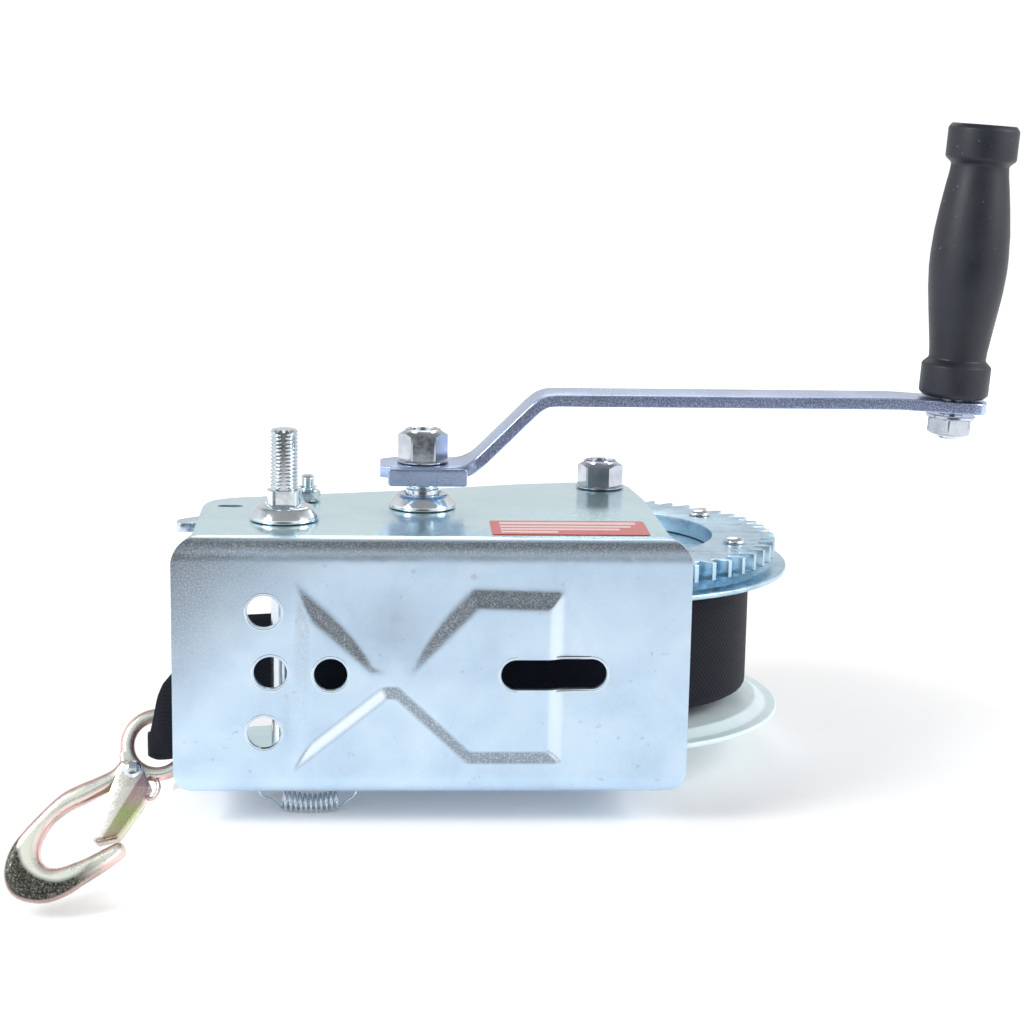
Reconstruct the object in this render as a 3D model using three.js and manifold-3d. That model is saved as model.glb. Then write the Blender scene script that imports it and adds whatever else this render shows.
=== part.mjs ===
import * as THREE from "three";
import { mergeVertices } from "three/addons/utils/BufferGeometryUtils.js";
import Module from "manifold-3d";

// Two-speed boat trailer winch, in millimetres, Z up.
// X runs along the base plate, Y away from its mounting face, Z across the two side plates.
// Sizes below are measured from the base plate's lower left corner, then moved so that
// the origin is on the stamped panels, the faces that bear on the trailer's bracket.
const ORIGIN = { x: 112, y: -1.98, z: 53.5 };

const FRAME = { width: 214.6, height: 110, sheet: 2.5, bend: 9.5, corner: 11 };
const BOLT_HOLES = [[37.8, 79.5], [40.4, 53.6], [37.7, 27.9], [65.3, 53.4]];
const BOLT_HOLE_R = 6.9;
const BASE_SLOT = { x: 157.8, z: 53.4, length: 44.2, width: 13 };
// The stamped bow tie: a left panel, a right panel and the neck between them.
const PANEL = { raise: 2, slope: 6 };
const PANELS = [
  [[48, 9.5], [90, 43.5], [90, 57], [50.5, 92]],
  [[90, 44], [121.5, 14.5], [161.5, 14.5], [161.5, 88.5], [123.5, 89.5], [92, 57]],
  [[78, 44.5], [104, 44.5], [104, 62], [78, 62]],
];

const DRUM = { x: 187.4, y: 122.2 };
const CRANK = { x: 103.74, y: 71.94 };
const LOW = { x: 44.4, y: 42.1 };
const PAWL = { x: 52.8, y: 84 };

const GEAR_MODULE = 3;
const TEETH = { drum: 53, crank: 12, wheel: 28, low: 16 };
const BACKLASH = 0.35;
const GEAR_Z = [81.4, 89.4];
const SECOND_Z = [93, 100.4];
const RATCHET_Z = [101.6, 105.6];
const GAP = 0.3;

const STRAP = { core: 30, roll: 72, bottom: 19.7, width: 50, thick: 1.4 };
const ARM = { width: 25, thick: 5.2, end: 353, level: 162, knee: 155, hub: 130, droop: 3.5 };
const GRIP = { x: 338.6, z: 161, length: 119.5, lean: 3.5 };
const HOOK = { x: -12.4, y: 58, z: 4.7, thick: 9, lean: 30, eye: 13.2, wire: 3.2 };

const wasm = await Module();
wasm.setup();

function solid(geometry) {
  const plain = geometry.index ? geometry.toNonIndexed() : geometry.clone();
  plain.deleteAttribute("normal");
  plain.deleteAttribute("uv");
  const merged = mergeVertices(plain, 1e-4);
  return new wasm.Manifold(new wasm.Mesh({
    numProp: 3,
    vertProperties: new Float32Array(merged.attributes.position.array),
    triVerts: new Uint32Array(merged.index.array),
  }));
}

function union(...solids) {
  return solids.reduce((all, next) => all.add(next));
}

function geometryOf(body) {
  const mesh = body.getMesh();
  const geometry = new THREE.BufferGeometry();
  const count = mesh.vertProperties.length / mesh.numProp;
  const points = new Float32Array(count * 3);
  for (let i = 0; i < count; i += 1) {
    for (let k = 0; k < 3; k += 1) {
      points[3 * i + k] = mesh.vertProperties[mesh.numProp * i + k];
    }
  }
  geometry.setAttribute("position", new THREE.BufferAttribute(points, 3));
  geometry.setIndex(new THREE.BufferAttribute(new Uint32Array(mesh.triVerts), 1));
  geometry.computeVertexNormals();
  return geometry;
}

// Shapes and extrusions.
function outline(points) {
  return new THREE.Shape(points.map(([x, y]) => new THREE.Vector2(x, y)));
}

function slab(shape, z0, z1) {
  const geometry = new THREE.ExtrudeGeometry(shape, {
    depth: z1 - z0, bevelEnabled: false, curveSegments: 8,
  });
  return geometry.translate(0, 0, z0);
}

// A shape drawn in X and Z, extruded along Y from y0 to y1.
function upright(shape, y0, y1) {
  return slab(shape, -y1, -y0).rotateX(Math.PI / 2);
}

// A shape drawn in Y and Z, extruded along X from x0 to x1.
function crosswise(shape, x0, x1) {
  return slab(shape, x0, x1).rotateY(Math.PI / 2).rotateX(Math.PI / 2);
}

function roundedRect(x0, y0, x1, y1, r, steps = 6) {
  const centres = [
    [x1 - r, y0 + r, -90], [x1 - r, y1 - r, 0], [x0 + r, y1 - r, 90], [x0 + r, y0 + r, 180],
  ];
  const points = [];
  for (const [cx, cy, start] of centres) {
    for (let i = 0; i <= steps; i += 1) {
      const a = ((start + (90 * i) / steps) * Math.PI) / 180;
      points.push([cx + r * Math.cos(a), cy + r * Math.sin(a)]);
    }
  }
  return outline(points);
}

function circle(x, y, r, segments = 24) {
  const points = [];
  for (let i = 0; i < segments; i += 1) {
    const a = (2 * Math.PI * i) / segments;
    points.push([x + r * Math.cos(a), y + r * Math.sin(a)]);
  }
  return outline(points);
}

function rod(x, y, r, z0, z1, segments = 24) {
  return slab(circle(x, y, r, segments), z0, z1);
}

function hexagon(x, y, acrossFlats, z0, z1) {
  const r = acrossFlats / Math.sqrt(3);
  const points = [];
  for (let i = 0; i < 6; i += 1) {
    const a = (Math.PI / 3) * i;
    points.push([x + r * Math.cos(a), y + r * Math.sin(a)]);
  }
  return slab(outline(points), z0, z1);
}

// A profile of [radius, z] pairs turned about the upright axis at x, y.
function turned(x, y, profile, segments = 24) {
  const points = profile.map(([r, z]) => new THREE.Vector2(r, z));
  const geometry = new THREE.LatheGeometry(points, segments);
  return geometry.rotateX(Math.PI / 2).translate(x, y, 0);
}

function tube(x, y, inner, outer, z0, z1, segments = 24) {
  const profile = [[inner, z0], [outer, z0], [outer, z1], [inner, z1], [inner, z0]];
  return turned(x, y, profile, segments);
}

// Gear tooth outline with involute flanks.
function involute(angle) {
  return Math.tan(angle) - angle;
}

function flankAngle(radius, pitch, teeth) {
  const base = pitch * Math.cos(Math.PI / 9);
  const at = Math.acos(Math.min(1, base / Math.max(radius, base)));
  const half = Math.PI / (2 * teeth) - BACKLASH / (2 * pitch);
  return half + involute(Math.PI / 9) - involute(at);
}

function gearShape(centre, teeth, phase) {
  const pitch = (GEAR_MODULE * teeth) / 2;
  const radii = [-1.25, -0.4, 0.95].map((share) => pitch + share * GEAR_MODULE);
  const points = [];
  for (let i = 0; i < teeth; i += 1) {
    const middle = (2 * Math.PI * i) / teeth + phase;
    for (const r of radii) {
      points.push(polar(centre, r, middle - flankAngle(r, pitch, teeth)));
    }
    for (const r of [...radii].reverse()) {
      points.push(polar(centre, r, middle + flankAngle(r, pitch, teeth)));
    }
  }
  return outline(points);
}

function polar(centre, r, a) {
  return [centre.x + r * Math.cos(a), centre.y + r * Math.sin(a)];
}

function gear(centre, teeth, phase, bore, [z0, z1]) {
  const shape = gearShape(centre, teeth, phase);
  shape.holes.push(circle(centre.x, centre.y, bore, bore > 20 ? 48 : 24));
  return slab(shape, z0, z1);
}

// A tooth of `a` points at `b`; a gap of `b` faces back at `a`.
function toothTowards(a, b) {
  return Math.atan2(b.y - a.y, b.x - a.x);
}

function gapTowards(a, b, teeth) {
  return toothTowards(a, b) + Math.PI / teeth;
}

// The frame: one sheet folded into a channel.
function channelShape() {
  const { height, sheet, bend } = FRAME;
  const arc = (cy, cz, r, from, to) => {
    const points = [];
    for (let i = 0; i <= 6; i += 1) {
      const a = ((from + ((to - from) * i) / 6) * Math.PI) / 180;
      points.push([cy + r * Math.cos(a), cz + r * Math.sin(a)]);
    }
    return points;
  };
  return outline([
    [150, 0], [150, sheet],
    ...arc(bend, bend, bend - sheet, 270, 180),
    ...arc(bend, height - bend, bend - sheet, 180, 90),
    [150, height - sheet], [150, height],
    ...arc(bend, height - bend, bend, 90, 180),
    ...arc(bend, bend, bend, 180, 270),
  ]);
}

function sideOutline() {
  const shape = new THREE.Shape();
  shape.moveTo(-1, -4);
  shape.lineTo(216, -4);
  shape.lineTo(216, 4);
  shape.quadraticCurveTo(207, 5, 206.2, 14);
  shape.lineTo(204.6, 90);
  shape.lineTo(201.5, 120);
  shape.quadraticCurveTo(200, 134.5, 190, 134.8);
  shape.lineTo(174, 134.2);
  shape.lineTo(148, 128.4);
  shape.lineTo(90, 109.2);
  shape.lineTo(58, 101);
  shape.lineTo(22, 91.5);
  shape.quadraticCurveTo(7.5, 86, 7.2, 72);
  shape.lineTo(7.8, 14);
  shape.quadraticCurveTo(7.8, 5, -1, 4);
  return shape;
}

// A convex outline in X and Z moved inwards by a distance.
function inset(points, distance) {
  const count = points.length;
  const lines = points.map(([x0, z0], i) => {
    const [x1, z1] = points[(i + 1) % count];
    const length = Math.hypot(x1 - x0, z1 - z0);
    const nx = (z0 - z1) / length;
    const nz = (x1 - x0) / length;
    return { nx, nz, d: nx * x0 + nz * z0 + distance };
  });
  return lines.map((line, i) => {
    const before = lines[(i + count - 1) % count];
    const det = before.nx * line.nz - line.nx * before.nz;
    const x = (before.d * line.nz - line.d * before.nz) / det;
    const z = (before.nx * line.d - line.nx * before.d) / det;
    return [x, z];
  });
}

// A sloped-sided pad standing `PANEL.raise` out of the plane at y, towards -Y.
function pad(points, y) {
  const top = inset(points, PANEL.slope);
  const count = points.length;
  const vertices = [...points.map(([x, z]) => [x, y, z]), ...top.map(([x, z]) => [x, y - PANEL.raise, z])];
  const faces = [];
  for (let i = 0; i < count; i += 1) {
    const next = (i + 1) % count;
    faces.push(i, next, count + next, i, count + next, count + i);
  }
  for (let i = 1; i < count - 1; i += 1) {
    faces.push(0, i + 1, i, count, count + i, count + i + 1);
  }
  const geometry = new THREE.BufferGeometry();
  geometry.setAttribute("position", new THREE.Float32BufferAttribute(vertices.flat(), 3));
  geometry.setIndex(faces);
  return geometry;
}

function frameGeometry() {
  const { width, height, corner } = FRAME;
  let body = solid(crosswise(channelShape(), 0, width));
  body = body.intersect(solid(slab(sideOutline(), -5, height + 5)));
  body = body.intersect(solid(upright(roundedRect(0, 0, width, height, corner), -5, 200)));
  const pads = PANELS.map((points) => solid(pad(points, 0.02)));
  const dents = PANELS.map((points) => solid(pad(points, FRAME.sheet + 0.02)));
  body = union(body, ...pads).subtract(union(...dents));
  for (const cutter of frameCutters()) {
    body = body.subtract(solid(cutter));
  }
  return geometryOf(body);
}

function frameCutters() {
  const { x, z, length, width } = BASE_SLOT;
  const slot = roundedRect(x - length / 2, z - width / 2, x + length / 2, z + width / 2, width / 2 - 0.1);
  const holes = BOLT_HOLES.map(([hx, hz]) => upright(circle(hx, hz, BOLT_HOLE_R), -5, 5));
  return [
    ...holes,
    upright(slot, -5, 5),
    rod(CRANK.x, CRANK.y, 11.3, -5, 115),
    rod(LOW.x, LOW.y, 11.3, -5, 115),
    rod(DRUM.x, DRUM.y, 6.3, -5, 115),
    rod(PAWL.x, PAWL.y, 3.3, 100, 115, 20),
    slab(roundedRect(14, 68.4, 25, 73, 2.2, 4), 100, 115),
    rod(76, 22, 2, -5, 5, 16),
    rod(34, 22, 2.3, -5, 5, 16),
  ];
}

// Flanged bushing above the top plate, or mirrored under the lower one.
function bushing({ x, y }, bore, top) {
  const level = top ? FRAME.height : 0;
  const way = top ? 1 : -1;
  const inside = level - way * (FRAME.sheet + 0.6);
  const profile = [
    [bore, inside], [11, inside], [11, level + way * GAP], [15, level + way * GAP],
    [15, level + way * 1.6], [12.6, level + way * 5.2], [11, level + way * 6.3],
    [bore, level + way * 6.3], [bore, inside],
  ];
  if (!top) profile.reverse();
  return turned(x, y, profile);
}

// A hexagon nut with a flange and a domed top.
function flangeNut({ x, y }, flats, bore, z0, z1, flange) {
  const dome = turned(x, y, [
    [0, z0 - 1], [flats, z0 - 1], [flats, z1 - 2.4], [flats / 2 - 1.2, z1], [0, z1],
  ]);
  let body = solid(hexagon(x, y, flats, z0, z1)).intersect(solid(dome));
  body = body.add(solid(turned(x, y, [
    [0, z0], [flange, z0], [flange, z0 + 0.8], [flats / 2 - 1, z0 + 2.6], [0, z0 + 2.6],
  ])));
  return geometryOf(body.subtract(solid(rod(x, y, bore, z0 - 2, z1 + 2))));
}

function boltGeometry({ x, y }, { flats, radius, head, end, length }) {
  const low = Math.min(head, end);
  const high = Math.max(head, end);
  const shank = turned(x, y, [
    [0, low + 0.2], [radius, low + 0.2], [radius, length - 1], [radius - 1, length], [0, length],
  ]);
  const body = union(solid(hexagon(x, y, flats, low, high)), solid(shank));
  return geometryOf(body);
}

// The drum.
function drumFlangeTop() {
  const { x, y } = DRUM;
  return turned(x, y, [
    [10.5, 78.1], [75, 78.1], [79.5, 75], [87.8, 75], [87.8, 77.4], [80.2, 77.4],
    [75.4, 81.1], [10.5, 81.1], [10.5, 78.1],
  ], 56);
}

function drumFlangeBottom() {
  const { x, y } = DRUM;
  return turned(x, y, [
    [10.5, 10.6], [75.4, 10.6], [80.2, 7.4], [86, 7.4], [86, 9.8], [80.8, 9.8],
    [76, 13.2], [10.5, 13.2], [10.5, 10.6],
  ], 56);
}

function strapRoll() {
  const { core, roll, bottom, width } = STRAP;
  return tube(DRUM.x, DRUM.y, core + GAP, roll, bottom, bottom + width, 64);
}

function rivet(index) {
  const centre = polar(DRUM, 65.6, ((-24.2 + 60 * index) * Math.PI) / 180);
  return turned(centre[0], centre[1], [
    [0, GEAR_Z[1] + GAP], [5, GEAR_Z[1] + GAP], [4.6, GEAR_Z[1] + 1.5], [3, GEAR_Z[1] + 2.6],
    [0, GEAR_Z[1] + 2.8],
  ], 12);
}

// The strap from the roll to its sewn end loop.
function strapTail() {
  const { bottom, width, thick } = STRAP;
  const start = tangentPoint();
  const front = offsetLine([[start.x, start.y], [102, 54.6], [44, 58.4], [24, 59.6]], thick / 2);
  const sheet = slab(outline(front), bottom, bottom + width);
  const cut = outline([
    [0, bottom - 1], [190, bottom - 1], [190, bottom + width + 1], [150, bottom + width + 1],
    [100, bottom + width - 1], [24, bottom + width - 6], [0, bottom + width - 8],
  ]);
  const trimmed = solid(sheet).intersect(solid(upright(cut, 0, 120)));
  return geometryOf(trimmed.add(solid(strapLoop())));
}

function tangentPoint() {
  return { x: DRUM.x - 2.6, y: DRUM.y - STRAP.roll - STRAP.thick / 2 - 0.4 };
}

function offsetLine(points, half) {
  const left = [];
  const right = [];
  points.forEach(([x, y], i) => {
    const [ax, ay] = points[Math.max(0, i - 1)];
    const [bx, by] = points[Math.min(points.length - 1, i + 1)];
    const length = Math.hypot(bx - ax, by - ay);
    const nx = (-(by - ay) / length) * half;
    const ny = ((bx - ax) / length) * half;
    left.push([x + nx, y + ny]);
    right.unshift([x - nx, y - ny]);
  });
  return [...left, ...right];
}

// The loop stands tall in front of the hook's eye and is bunched where it passes through.
const LOOP_FRONT = [
  [-20, 0], [-12, -0.3], [-6, 0.6], [2, 3.4], [14, 11], [27, 19], [27, 63], [14, 52], [2, 40],
  [-4, 32.5], [-8, 27], [-11, 21.5], [-13, 15], [-14.6, 10.2], [-20, 10],
];
const LOOP_BACK = [
  [-20, 0], [-6, -0.5], [2, 3.4], [14, 12], [27, 20], [27, 63], [16, 46], [4, 12], [-6, 10.4],
  [-20, 10],
];

function strapLoop() {
  const y = HOOK.y;
  const outer = [[26, y + 2.6], [26, y], [12, y - 9.5], [-4, y - 11], [-12, y - 9], [-17, y - 3],
    [-17, y + 3], [-12, y + 9], [-4, y + 11], [12, y + 9.5]].reverse();
  const inner = [[13, y + 5], [13, y - 5], [9, y - 7.6], [-4, y - 9], [-11, y - 7], [-15, y - 2],
    [-15, y + 2], [-11, y + 7], [-4, y + 9], [9, y + 7.6]];
  const shape = outline(outer);
  shape.holes.push(outline(inner));
  const band = solid(slab(shape, -20, 80));
  const front = band.intersect(solid(upright(outline(LOOP_FRONT), 0, y - 2)));
  const back = band.intersect(solid(upright(outline(LOOP_BACK), y - 2, 120)));
  return geometryOf(front.add(back));
}

// The crank arm: a flat bar bent up from its hub, lipped at the hub.
function armShape() {
  const { thick, hub, knee, level, end, droop } = ARM;
  const drop = Math.tan((droop * Math.PI) / 180) * (end - 312);
  const line = [[85, hub], [119, hub], [123.5, hub + 1.4], [127, hub + 4.4], [knee - 4, level - 3.6],
    [knee - 0.5, level - 0.9], [knee + 4, level], [312, level], [end, level - drop]];
  const lower = line.map((point, i) => {
    const [ax, az] = line[Math.max(0, i - 1)];
    const [bx, bz] = line[Math.min(line.length - 1, i + 1)];
    const length = Math.hypot(bx - ax, bz - az);
    return [point[0] + ((bz - az) / length) * thick, point[1] - ((bx - ax) / length) * thick];
  });
  return outline([...line, ...lower.reverse()].reverse());
}

function armGeometry() {
  const half = ARM.width / 2;
  const y0 = CRANK.y - half;
  const y1 = CRANK.y + half;
  const plan = new THREE.Shape();
  plan.moveTo(91, y0 - 1.5);
  plan.lineTo(123, y0 - 1.5);
  plan.lineTo(126, y0);
  plan.lineTo(ARM.end - 8, y0);
  plan.quadraticCurveTo(ARM.end, y0, ARM.end, y0 + 8);
  plan.lineTo(ARM.end, y1 - 8);
  plan.quadraticCurveTo(ARM.end, y1, ARM.end - 8, y1);
  plan.lineTo(126, y1);
  plan.lineTo(123, y1 + 1.5);
  plan.lineTo(91, y1 + 1.5);
  plan.lineTo(85, y1 - 5);
  plan.lineTo(85, y0 + 5);
  let body = solid(upright(armShape(), y0 - 3, y1 + 3)).intersect(solid(slab(plan, 100, 180)));
  const lips = union(
    solid(upright(roundedRect(88.5, 121.8, 123, 129, 1, 3), y0 - 1.5, y0 + 1.5)),
    solid(upright(roundedRect(88.5, 121.8, 123, 129, 1, 3), y1 - 1.5, y1 + 1.5)),
  );
  body = body.add(lips).subtract(solid(driveFlats(CRANK, 6 + GAP, 5 + GAP, 115, 135)));
  return geometryOf(body.subtract(solid(tilted(rod(GRIP.x, CRANK.y, 5 + GAP, 140, 175, 28)))));
}

// A round bar with two flats facing along Y.
function driveFlats({ x, y }, radius, half, z0, z1) {
  const round = solid(rod(x, y, radius, z0, z1));
  const band = solid(slab(roundedRect(x - 20, y - half, x + 20, y + half, 0.1, 1), z0, z1));
  return geometryOf(round.intersect(band));
}

function tilted(geometry) {
  return geometry
    .translate(-GRIP.x, 0, -GRIP.z)
    .rotateY((GRIP.lean * Math.PI) / 180)
    .translate(GRIP.x, 0, GRIP.z);
}

function gripGeometry() {
  const z = GRIP.z;
  const top = z + GRIP.length;
  return tilted(turned(GRIP.x, CRANK.y, [
    [5.4, z + 0.4], [13.6, z + 0.4], [15.3, z + 2], [15.3, z + 14.5], [12.5, z + 17.5],
    [13.2, z + 26], [16.2, z + 46], [17, z + 60], [16.2, z + 74], [13.4, z + 94],
    [12.5, z + 102], [15.4, z + 105], [15.4, top - 2], [14, top], [9.4, top], [9.4, top - 3],
    [8.6, top - 3], [8.6, top - 14], [5.4, top - 14], [5.4, z + 0.4],
  ], 32));
}

function gripBolt() {
  const top = GRIP.z + GRIP.length;
  return tilted(turned(GRIP.x, CRANK.y, [
    [0, 142.6], [4.4, 142.6], [5, 143.2], [5, top - 13.6], [8.2, top - 13.6], [8.2, top - 8],
    [6.6, top - 6.6], [0, top - 6.6],
  ]));
}

function gripCap() {
  const top = GRIP.z + GRIP.length;
  return tilted(turned(GRIP.x, CRANK.y, [
    [0, top - 5.4], [8.2, top - 5.4], [8.2, top - 2.7], [9.1, top - 2.7], [9.1, top - 0.5],
    [0, top - 0.5],
  ]));
}

// Shafts.
function crankShaft() {
  const { x, y } = CRANK;
  const lower = solid(turned(x, y, [
    [0, -4.6], [6, -4.6], [7, -3.6], [7, 76], [9.4, 76], [9.4, 80.8], [8, 80.8],
    [8, 114], [7.4, 114.6], [7.4, 121.2], [0, 121.2],
  ]));
  const drive = solid(driveFlats(CRANK, 6, 5, 121, 130));
  return geometryOf(union(lower, drive, solid(rod(x, y, 5, 129.5, 143.6))));
}

function lowShaft() {
  const { x, y } = LOW;
  const lower = solid(turned(x, y, [
    [0, -4.6], [5, -4.6], [6, -3.6], [6, 88], [9.4, 88], [9.4, 92], [8, 92], [8, 114], [7.4, 114.6],
    [0, 114.6],
  ]));
  const flats = solid(driveFlats(LOW, 7.4, 5.8, 114, 123.2));
  const thread = solid(turned(x, y, [[0, 123], [6, 123], [6, 148], [5, 149], [0, 149]]));
  return geometryOf(union(lower, flats, thread));
}

// Ratchet wheel and its pawl.
function ratchetGeometry() {
  const points = [];
  for (let i = 0; i < 12; i += 1) {
    const a = (2 * Math.PI * i) / 12 + 1.62;
    points.push(polar(LOW, 23.5, a));
    points.push(polar(LOW, 17.5, a + 0.04));
  }
  const shape = outline(points);
  shape.holes.push(circle(LOW.x, LOW.y, 8.3, 28));
  return slab(shape, ...RATCHET_Z);
}

function pawlGeometry() {
  const nose = [[59, 87], [53.5, 90.6], [46, 89.6], [28, 83], [3, 68], [-3, 62], [-2.4, 54], [4, 54],
    [28, 72], [40, 77.5], [35, 67.6], [37.6, 65.2], [50, 76.6], [58, 79.4]];
  const shape = outline(nose);
  shape.holes.push(circle(PAWL.x, PAWL.y, 3.4, 20));
  return slab(shape, ...RATCHET_Z);
}

// The hook, drawn in X and Z about its eye, then leaned forward.
function hookPlane(geometry) {
  return geometry
    .translate(0, 0, -HOOK.z)
    .rotateX((-HOOK.lean * Math.PI) / 180)
    .translate(0, HOOK.y, HOOK.z);
}

function hookOutline() {
  return outline([
    [-28.2, -3.1], [-31.5, -6.6], [-38.3, -10.1], [-46.4, -13.6], [-53.6, -17.8], [-60.8, -24.8],
    [-68, -33], [-73.2, -40.4], [-75.6, -47.6], [-75.6, -54.6], [-72.9, -60.3], [-68, -63.5],
    [-61.4, -64.8], [-55.5, -64.2], [-48.3, -61.3], [-41.1, -56.6], [-32.3, -50.8], [-25.5, -45.7],
    [-24, -42.7], [-25.2, -39.6], [-27.8, -38.7], [-33.8, -41.6], [-41.1, -45.4], [-48.3, -48.3],
    [-53.6, -49.8], [-57.5, -49.2], [-60.1, -46.3], [-60.8, -41.2], [-58.8, -35], [-54.9, -29.5],
    [-49, -24.8], [-41.1, -20.9], [-31.5, -15.5], [-26.3, -12.4], [-19, -12.6], [-17.2, -9.2],
    [-19.4, -5], [-23, -2.6],
  ].reverse());
}

function eyeRing() {
  const ring = new THREE.TorusGeometry(HOOK.eye, HOOK.wire, 8, 28);
  return ring.rotateX(Math.PI / 2).translate(HOOK.x, 0, HOOK.z);
}

function hookGeometry() {
  const half = HOOK.thick / 2;
  const plate = solid(upright(hookOutline(), -half, half));
  const neck = solid(upright(outline([
    [-28, -4], [-25, -12], [-17.5, -11.6], [-14.6, -7.4], [-19, -6.4], [-23.6, -3.4], [-25.6, 1],
    [-28.6, 1],
  ].reverse()), -3.2, 3.2));
  const ring = solid(eyeRing());
  const body = union(plate, neck, ring).subtract(solid(upright(circle(-22.2, -7.6, 2.6, 20), -9, 9)));
  return hookPlane(geometryOf(body));
}

function latchGeometry() {
  const side = [[-27, -4], [-18.8, -4.4], [-16.8, -9.4], [-14.4, -14.8], [-17.6, -22.8], [-27.2, -37.2],
    [-36.6, -39.6], [-38.8, -37.4], [-31, -15]];
  const outer = solid(upright(outline([...side].reverse()), -6.6, 6.6));
  const inner = [[-40, 4], [-10, 4], [-10, -12.8], [-16.2, -15.4], [-19.6, -22.4], [-29, -35.6],
    [-36, -35.8], [-45, -34]];
  const slot = solid(upright(outline([...inner].reverse()), -5, 5));
  const hole = solid(upright(circle(-22.2, -7.6, 2.6, 20), -9, 9));
  return hookPlane(geometryOf(outer.subtract(slot).subtract(hole)));
}

function latchPin() {
  const shaft = solid(upright(circle(-22.2, -7.6, 2.3, 20), -7.4, 7.4));
  const heads = union(
    solid(upright(circle(-22.2, -7.6, 4, 20), -8.6, -6.9)),
    solid(upright(circle(-22.2, -7.6, 4, 20), 6.9, 8.6)),
  );
  return hookPlane(geometryOf(union(shaft, heads)));
}

// The coil spring under the lower plate, with a hook at each end.
function springGeometry() {
  const path = [[34, 22, -1], [34, 22, -4.4], [36.6, 22, -7.4], [41, 22, -8.2]];
  const turns = 8;
  for (let i = 0; i <= turns * 8; i += 1) {
    const a = (2 * Math.PI * i) / 8;
    path.push([44 + (i * 24) / (turns * 8), 22 + 4.2 * Math.sin(a), -8.2 - 4.2 * Math.cos(a)]);
  }
  path.push([71, 22, -8.2], [74.6, 22, -7], [76, 22, -3.6], [76, 22, 4]);
  const points = path.map((p) => new THREE.Vector3(...p));
  const curve = new THREE.CatmullRomCurve3(points, false, "centripetal");
  return new THREE.ExtrudeGeometry(circle(0, 0, 0.7, 5), {
    steps: 136, bevelEnabled: false, extrudePath: curve,
  });
}

const part = new THREE.Group();
part.name = "boat_trailer_winch";
const ZINC = 0xc9d4dc;
const YELLOW_ZINC = 0xd8c9a0;

function place(name, geometry, color, metalness = 0.9, roughness = 0.35) {
  const material = new THREE.MeshStandardMaterial({ color, metalness, roughness });
  material.name = `${name}_material`;
  const mesh = new THREE.Mesh(geometry, material);
  mesh.name = name;
  mesh.position.set(-ORIGIN.x, -ORIGIN.y, -ORIGIN.z);
  part.add(mesh);
}

function addFrame() {
  place("frame", frameGeometry(), ZINC);
  place("crank_bushing_top", bushing(CRANK, 8.3, true), ZINC);
  place("crank_bushing_bottom", bushing(CRANK, 7.3, false), ZINC);
  place("low_bushing_top", bushing(LOW, 8.3, true), ZINC);
  place("low_bushing_bottom", bushing(LOW, 6.3, false), ZINC);
  place("label", slab(roundedRect(131.9, 11.6, 198, 40, 1.2, 3), 110.1, 110.35), 0xc23a40, 0, 0.5);
  place("pawl_spring", springGeometry(), ZINC);
}

function addDrum() {
  const { x, y } = DRUM;
  const drumBolt = { flats: 19, radius: 6, head: -8, end: -GAP, length: 121.5 };
  place("drum_bolt", boltGeometry(DRUM, drumBolt), ZINC);
  place("drum_nut", flangeNut(DRUM, 18.6, 6.3, 110.3, 123, 11.2), ZINC);
  place("drum_spacer_top", tube(x, y, 6.3, 10, 91.3, 107.2), ZINC);
  place("drum_spacer_bottom", tube(x, y, 6.3, 10, 2.8, 8.7), ZINC);
  place("drum_hub", tube(x, y, 6.5, 10.2, 9, 91), ZINC);
  place("drum_core", tube(x, y, 27, STRAP.core, 13.5, 77.8, 48), ZINC);
  place("drum_flange_top", drumFlangeTop(), ZINC);
  place("drum_flange_bottom", drumFlangeBottom(), ZINC);
  place("drum_gear", gear(DRUM, TEETH.drum, gapTowards(DRUM, CRANK, TEETH.drum), 53, GEAR_Z), ZINC);
  for (let i = 0; i < 6; i += 1) {
    place(`drum_rivet_${i + 1}`, rivet(i), ZINC);
  }
  place("strap_roll", strapRoll(), 0x1c1c24, 0, 0.9);
  place("strap_tail", strapTail(), 0x1c1c24, 0, 0.9);
}

function addShafts() {
  place("crank_shaft", crankShaft(), ZINC);
  place("crank_pinion", gear(CRANK, TEETH.crank, toothTowards(CRANK, DRUM), 8.3, [81.7, 89.6]), ZINC);
  place("crank_wheel", gear(CRANK, TEETH.wheel, gapTowards(CRANK, LOW, TEETH.wheel), 8.3, SECOND_Z), ZINC);
  place("crank_arm", armGeometry(), ZINC);
  place("crank_nut", flangeNut(CRANK, 19, 5.3, 130.3, 145, 11.4), ZINC);
  place("low_shaft", lowShaft(), ZINC);
  place("low_pinion", gear(LOW, TEETH.low, toothTowards(LOW, CRANK), 8.3, SECOND_Z), ZINC);
  place("low_ratchet", ratchetGeometry(), ZINC);
}

function addPawl() {
  const { x, y } = PAWL;
  const pawlBolt = { flats: 10, radius: 3, head: 97.2, end: 101.2, length: 121.8 };
  place("pawl_bolt", boltGeometry(PAWL, pawlBolt), ZINC);
  place("pawl_nut", flangeNut(PAWL, 10, 3.3, 110.3, 116.6, 5.8), ZINC);
  place("pawl_washer", tube(x, y, 3.3, 6, 105.9, 107.2, 28), ZINC);
  place("pawl", pawlGeometry(), ZINC);
}

function addGrip() {
  const nut = tilted(flangeNut({ x: GRIP.x, y: CRANK.y }, 18.6, 5.3, 144.4, 153.6, 10.9));
  place("grip_bolt", gripBolt(), ZINC);
  place("grip_nut", nut, ZINC);
  place("grip", gripGeometry(), 0x222226, 0, 0.7);
  place("grip_cap", gripCap(), 0x222226, 0, 0.7);
}

function addHook() {
  place("hook", hookGeometry(), YELLOW_ZINC);
  place("hook_latch", latchGeometry(), YELLOW_ZINC);
  place("hook_latch_pin", latchPin(), YELLOW_ZINC);
}

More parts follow.
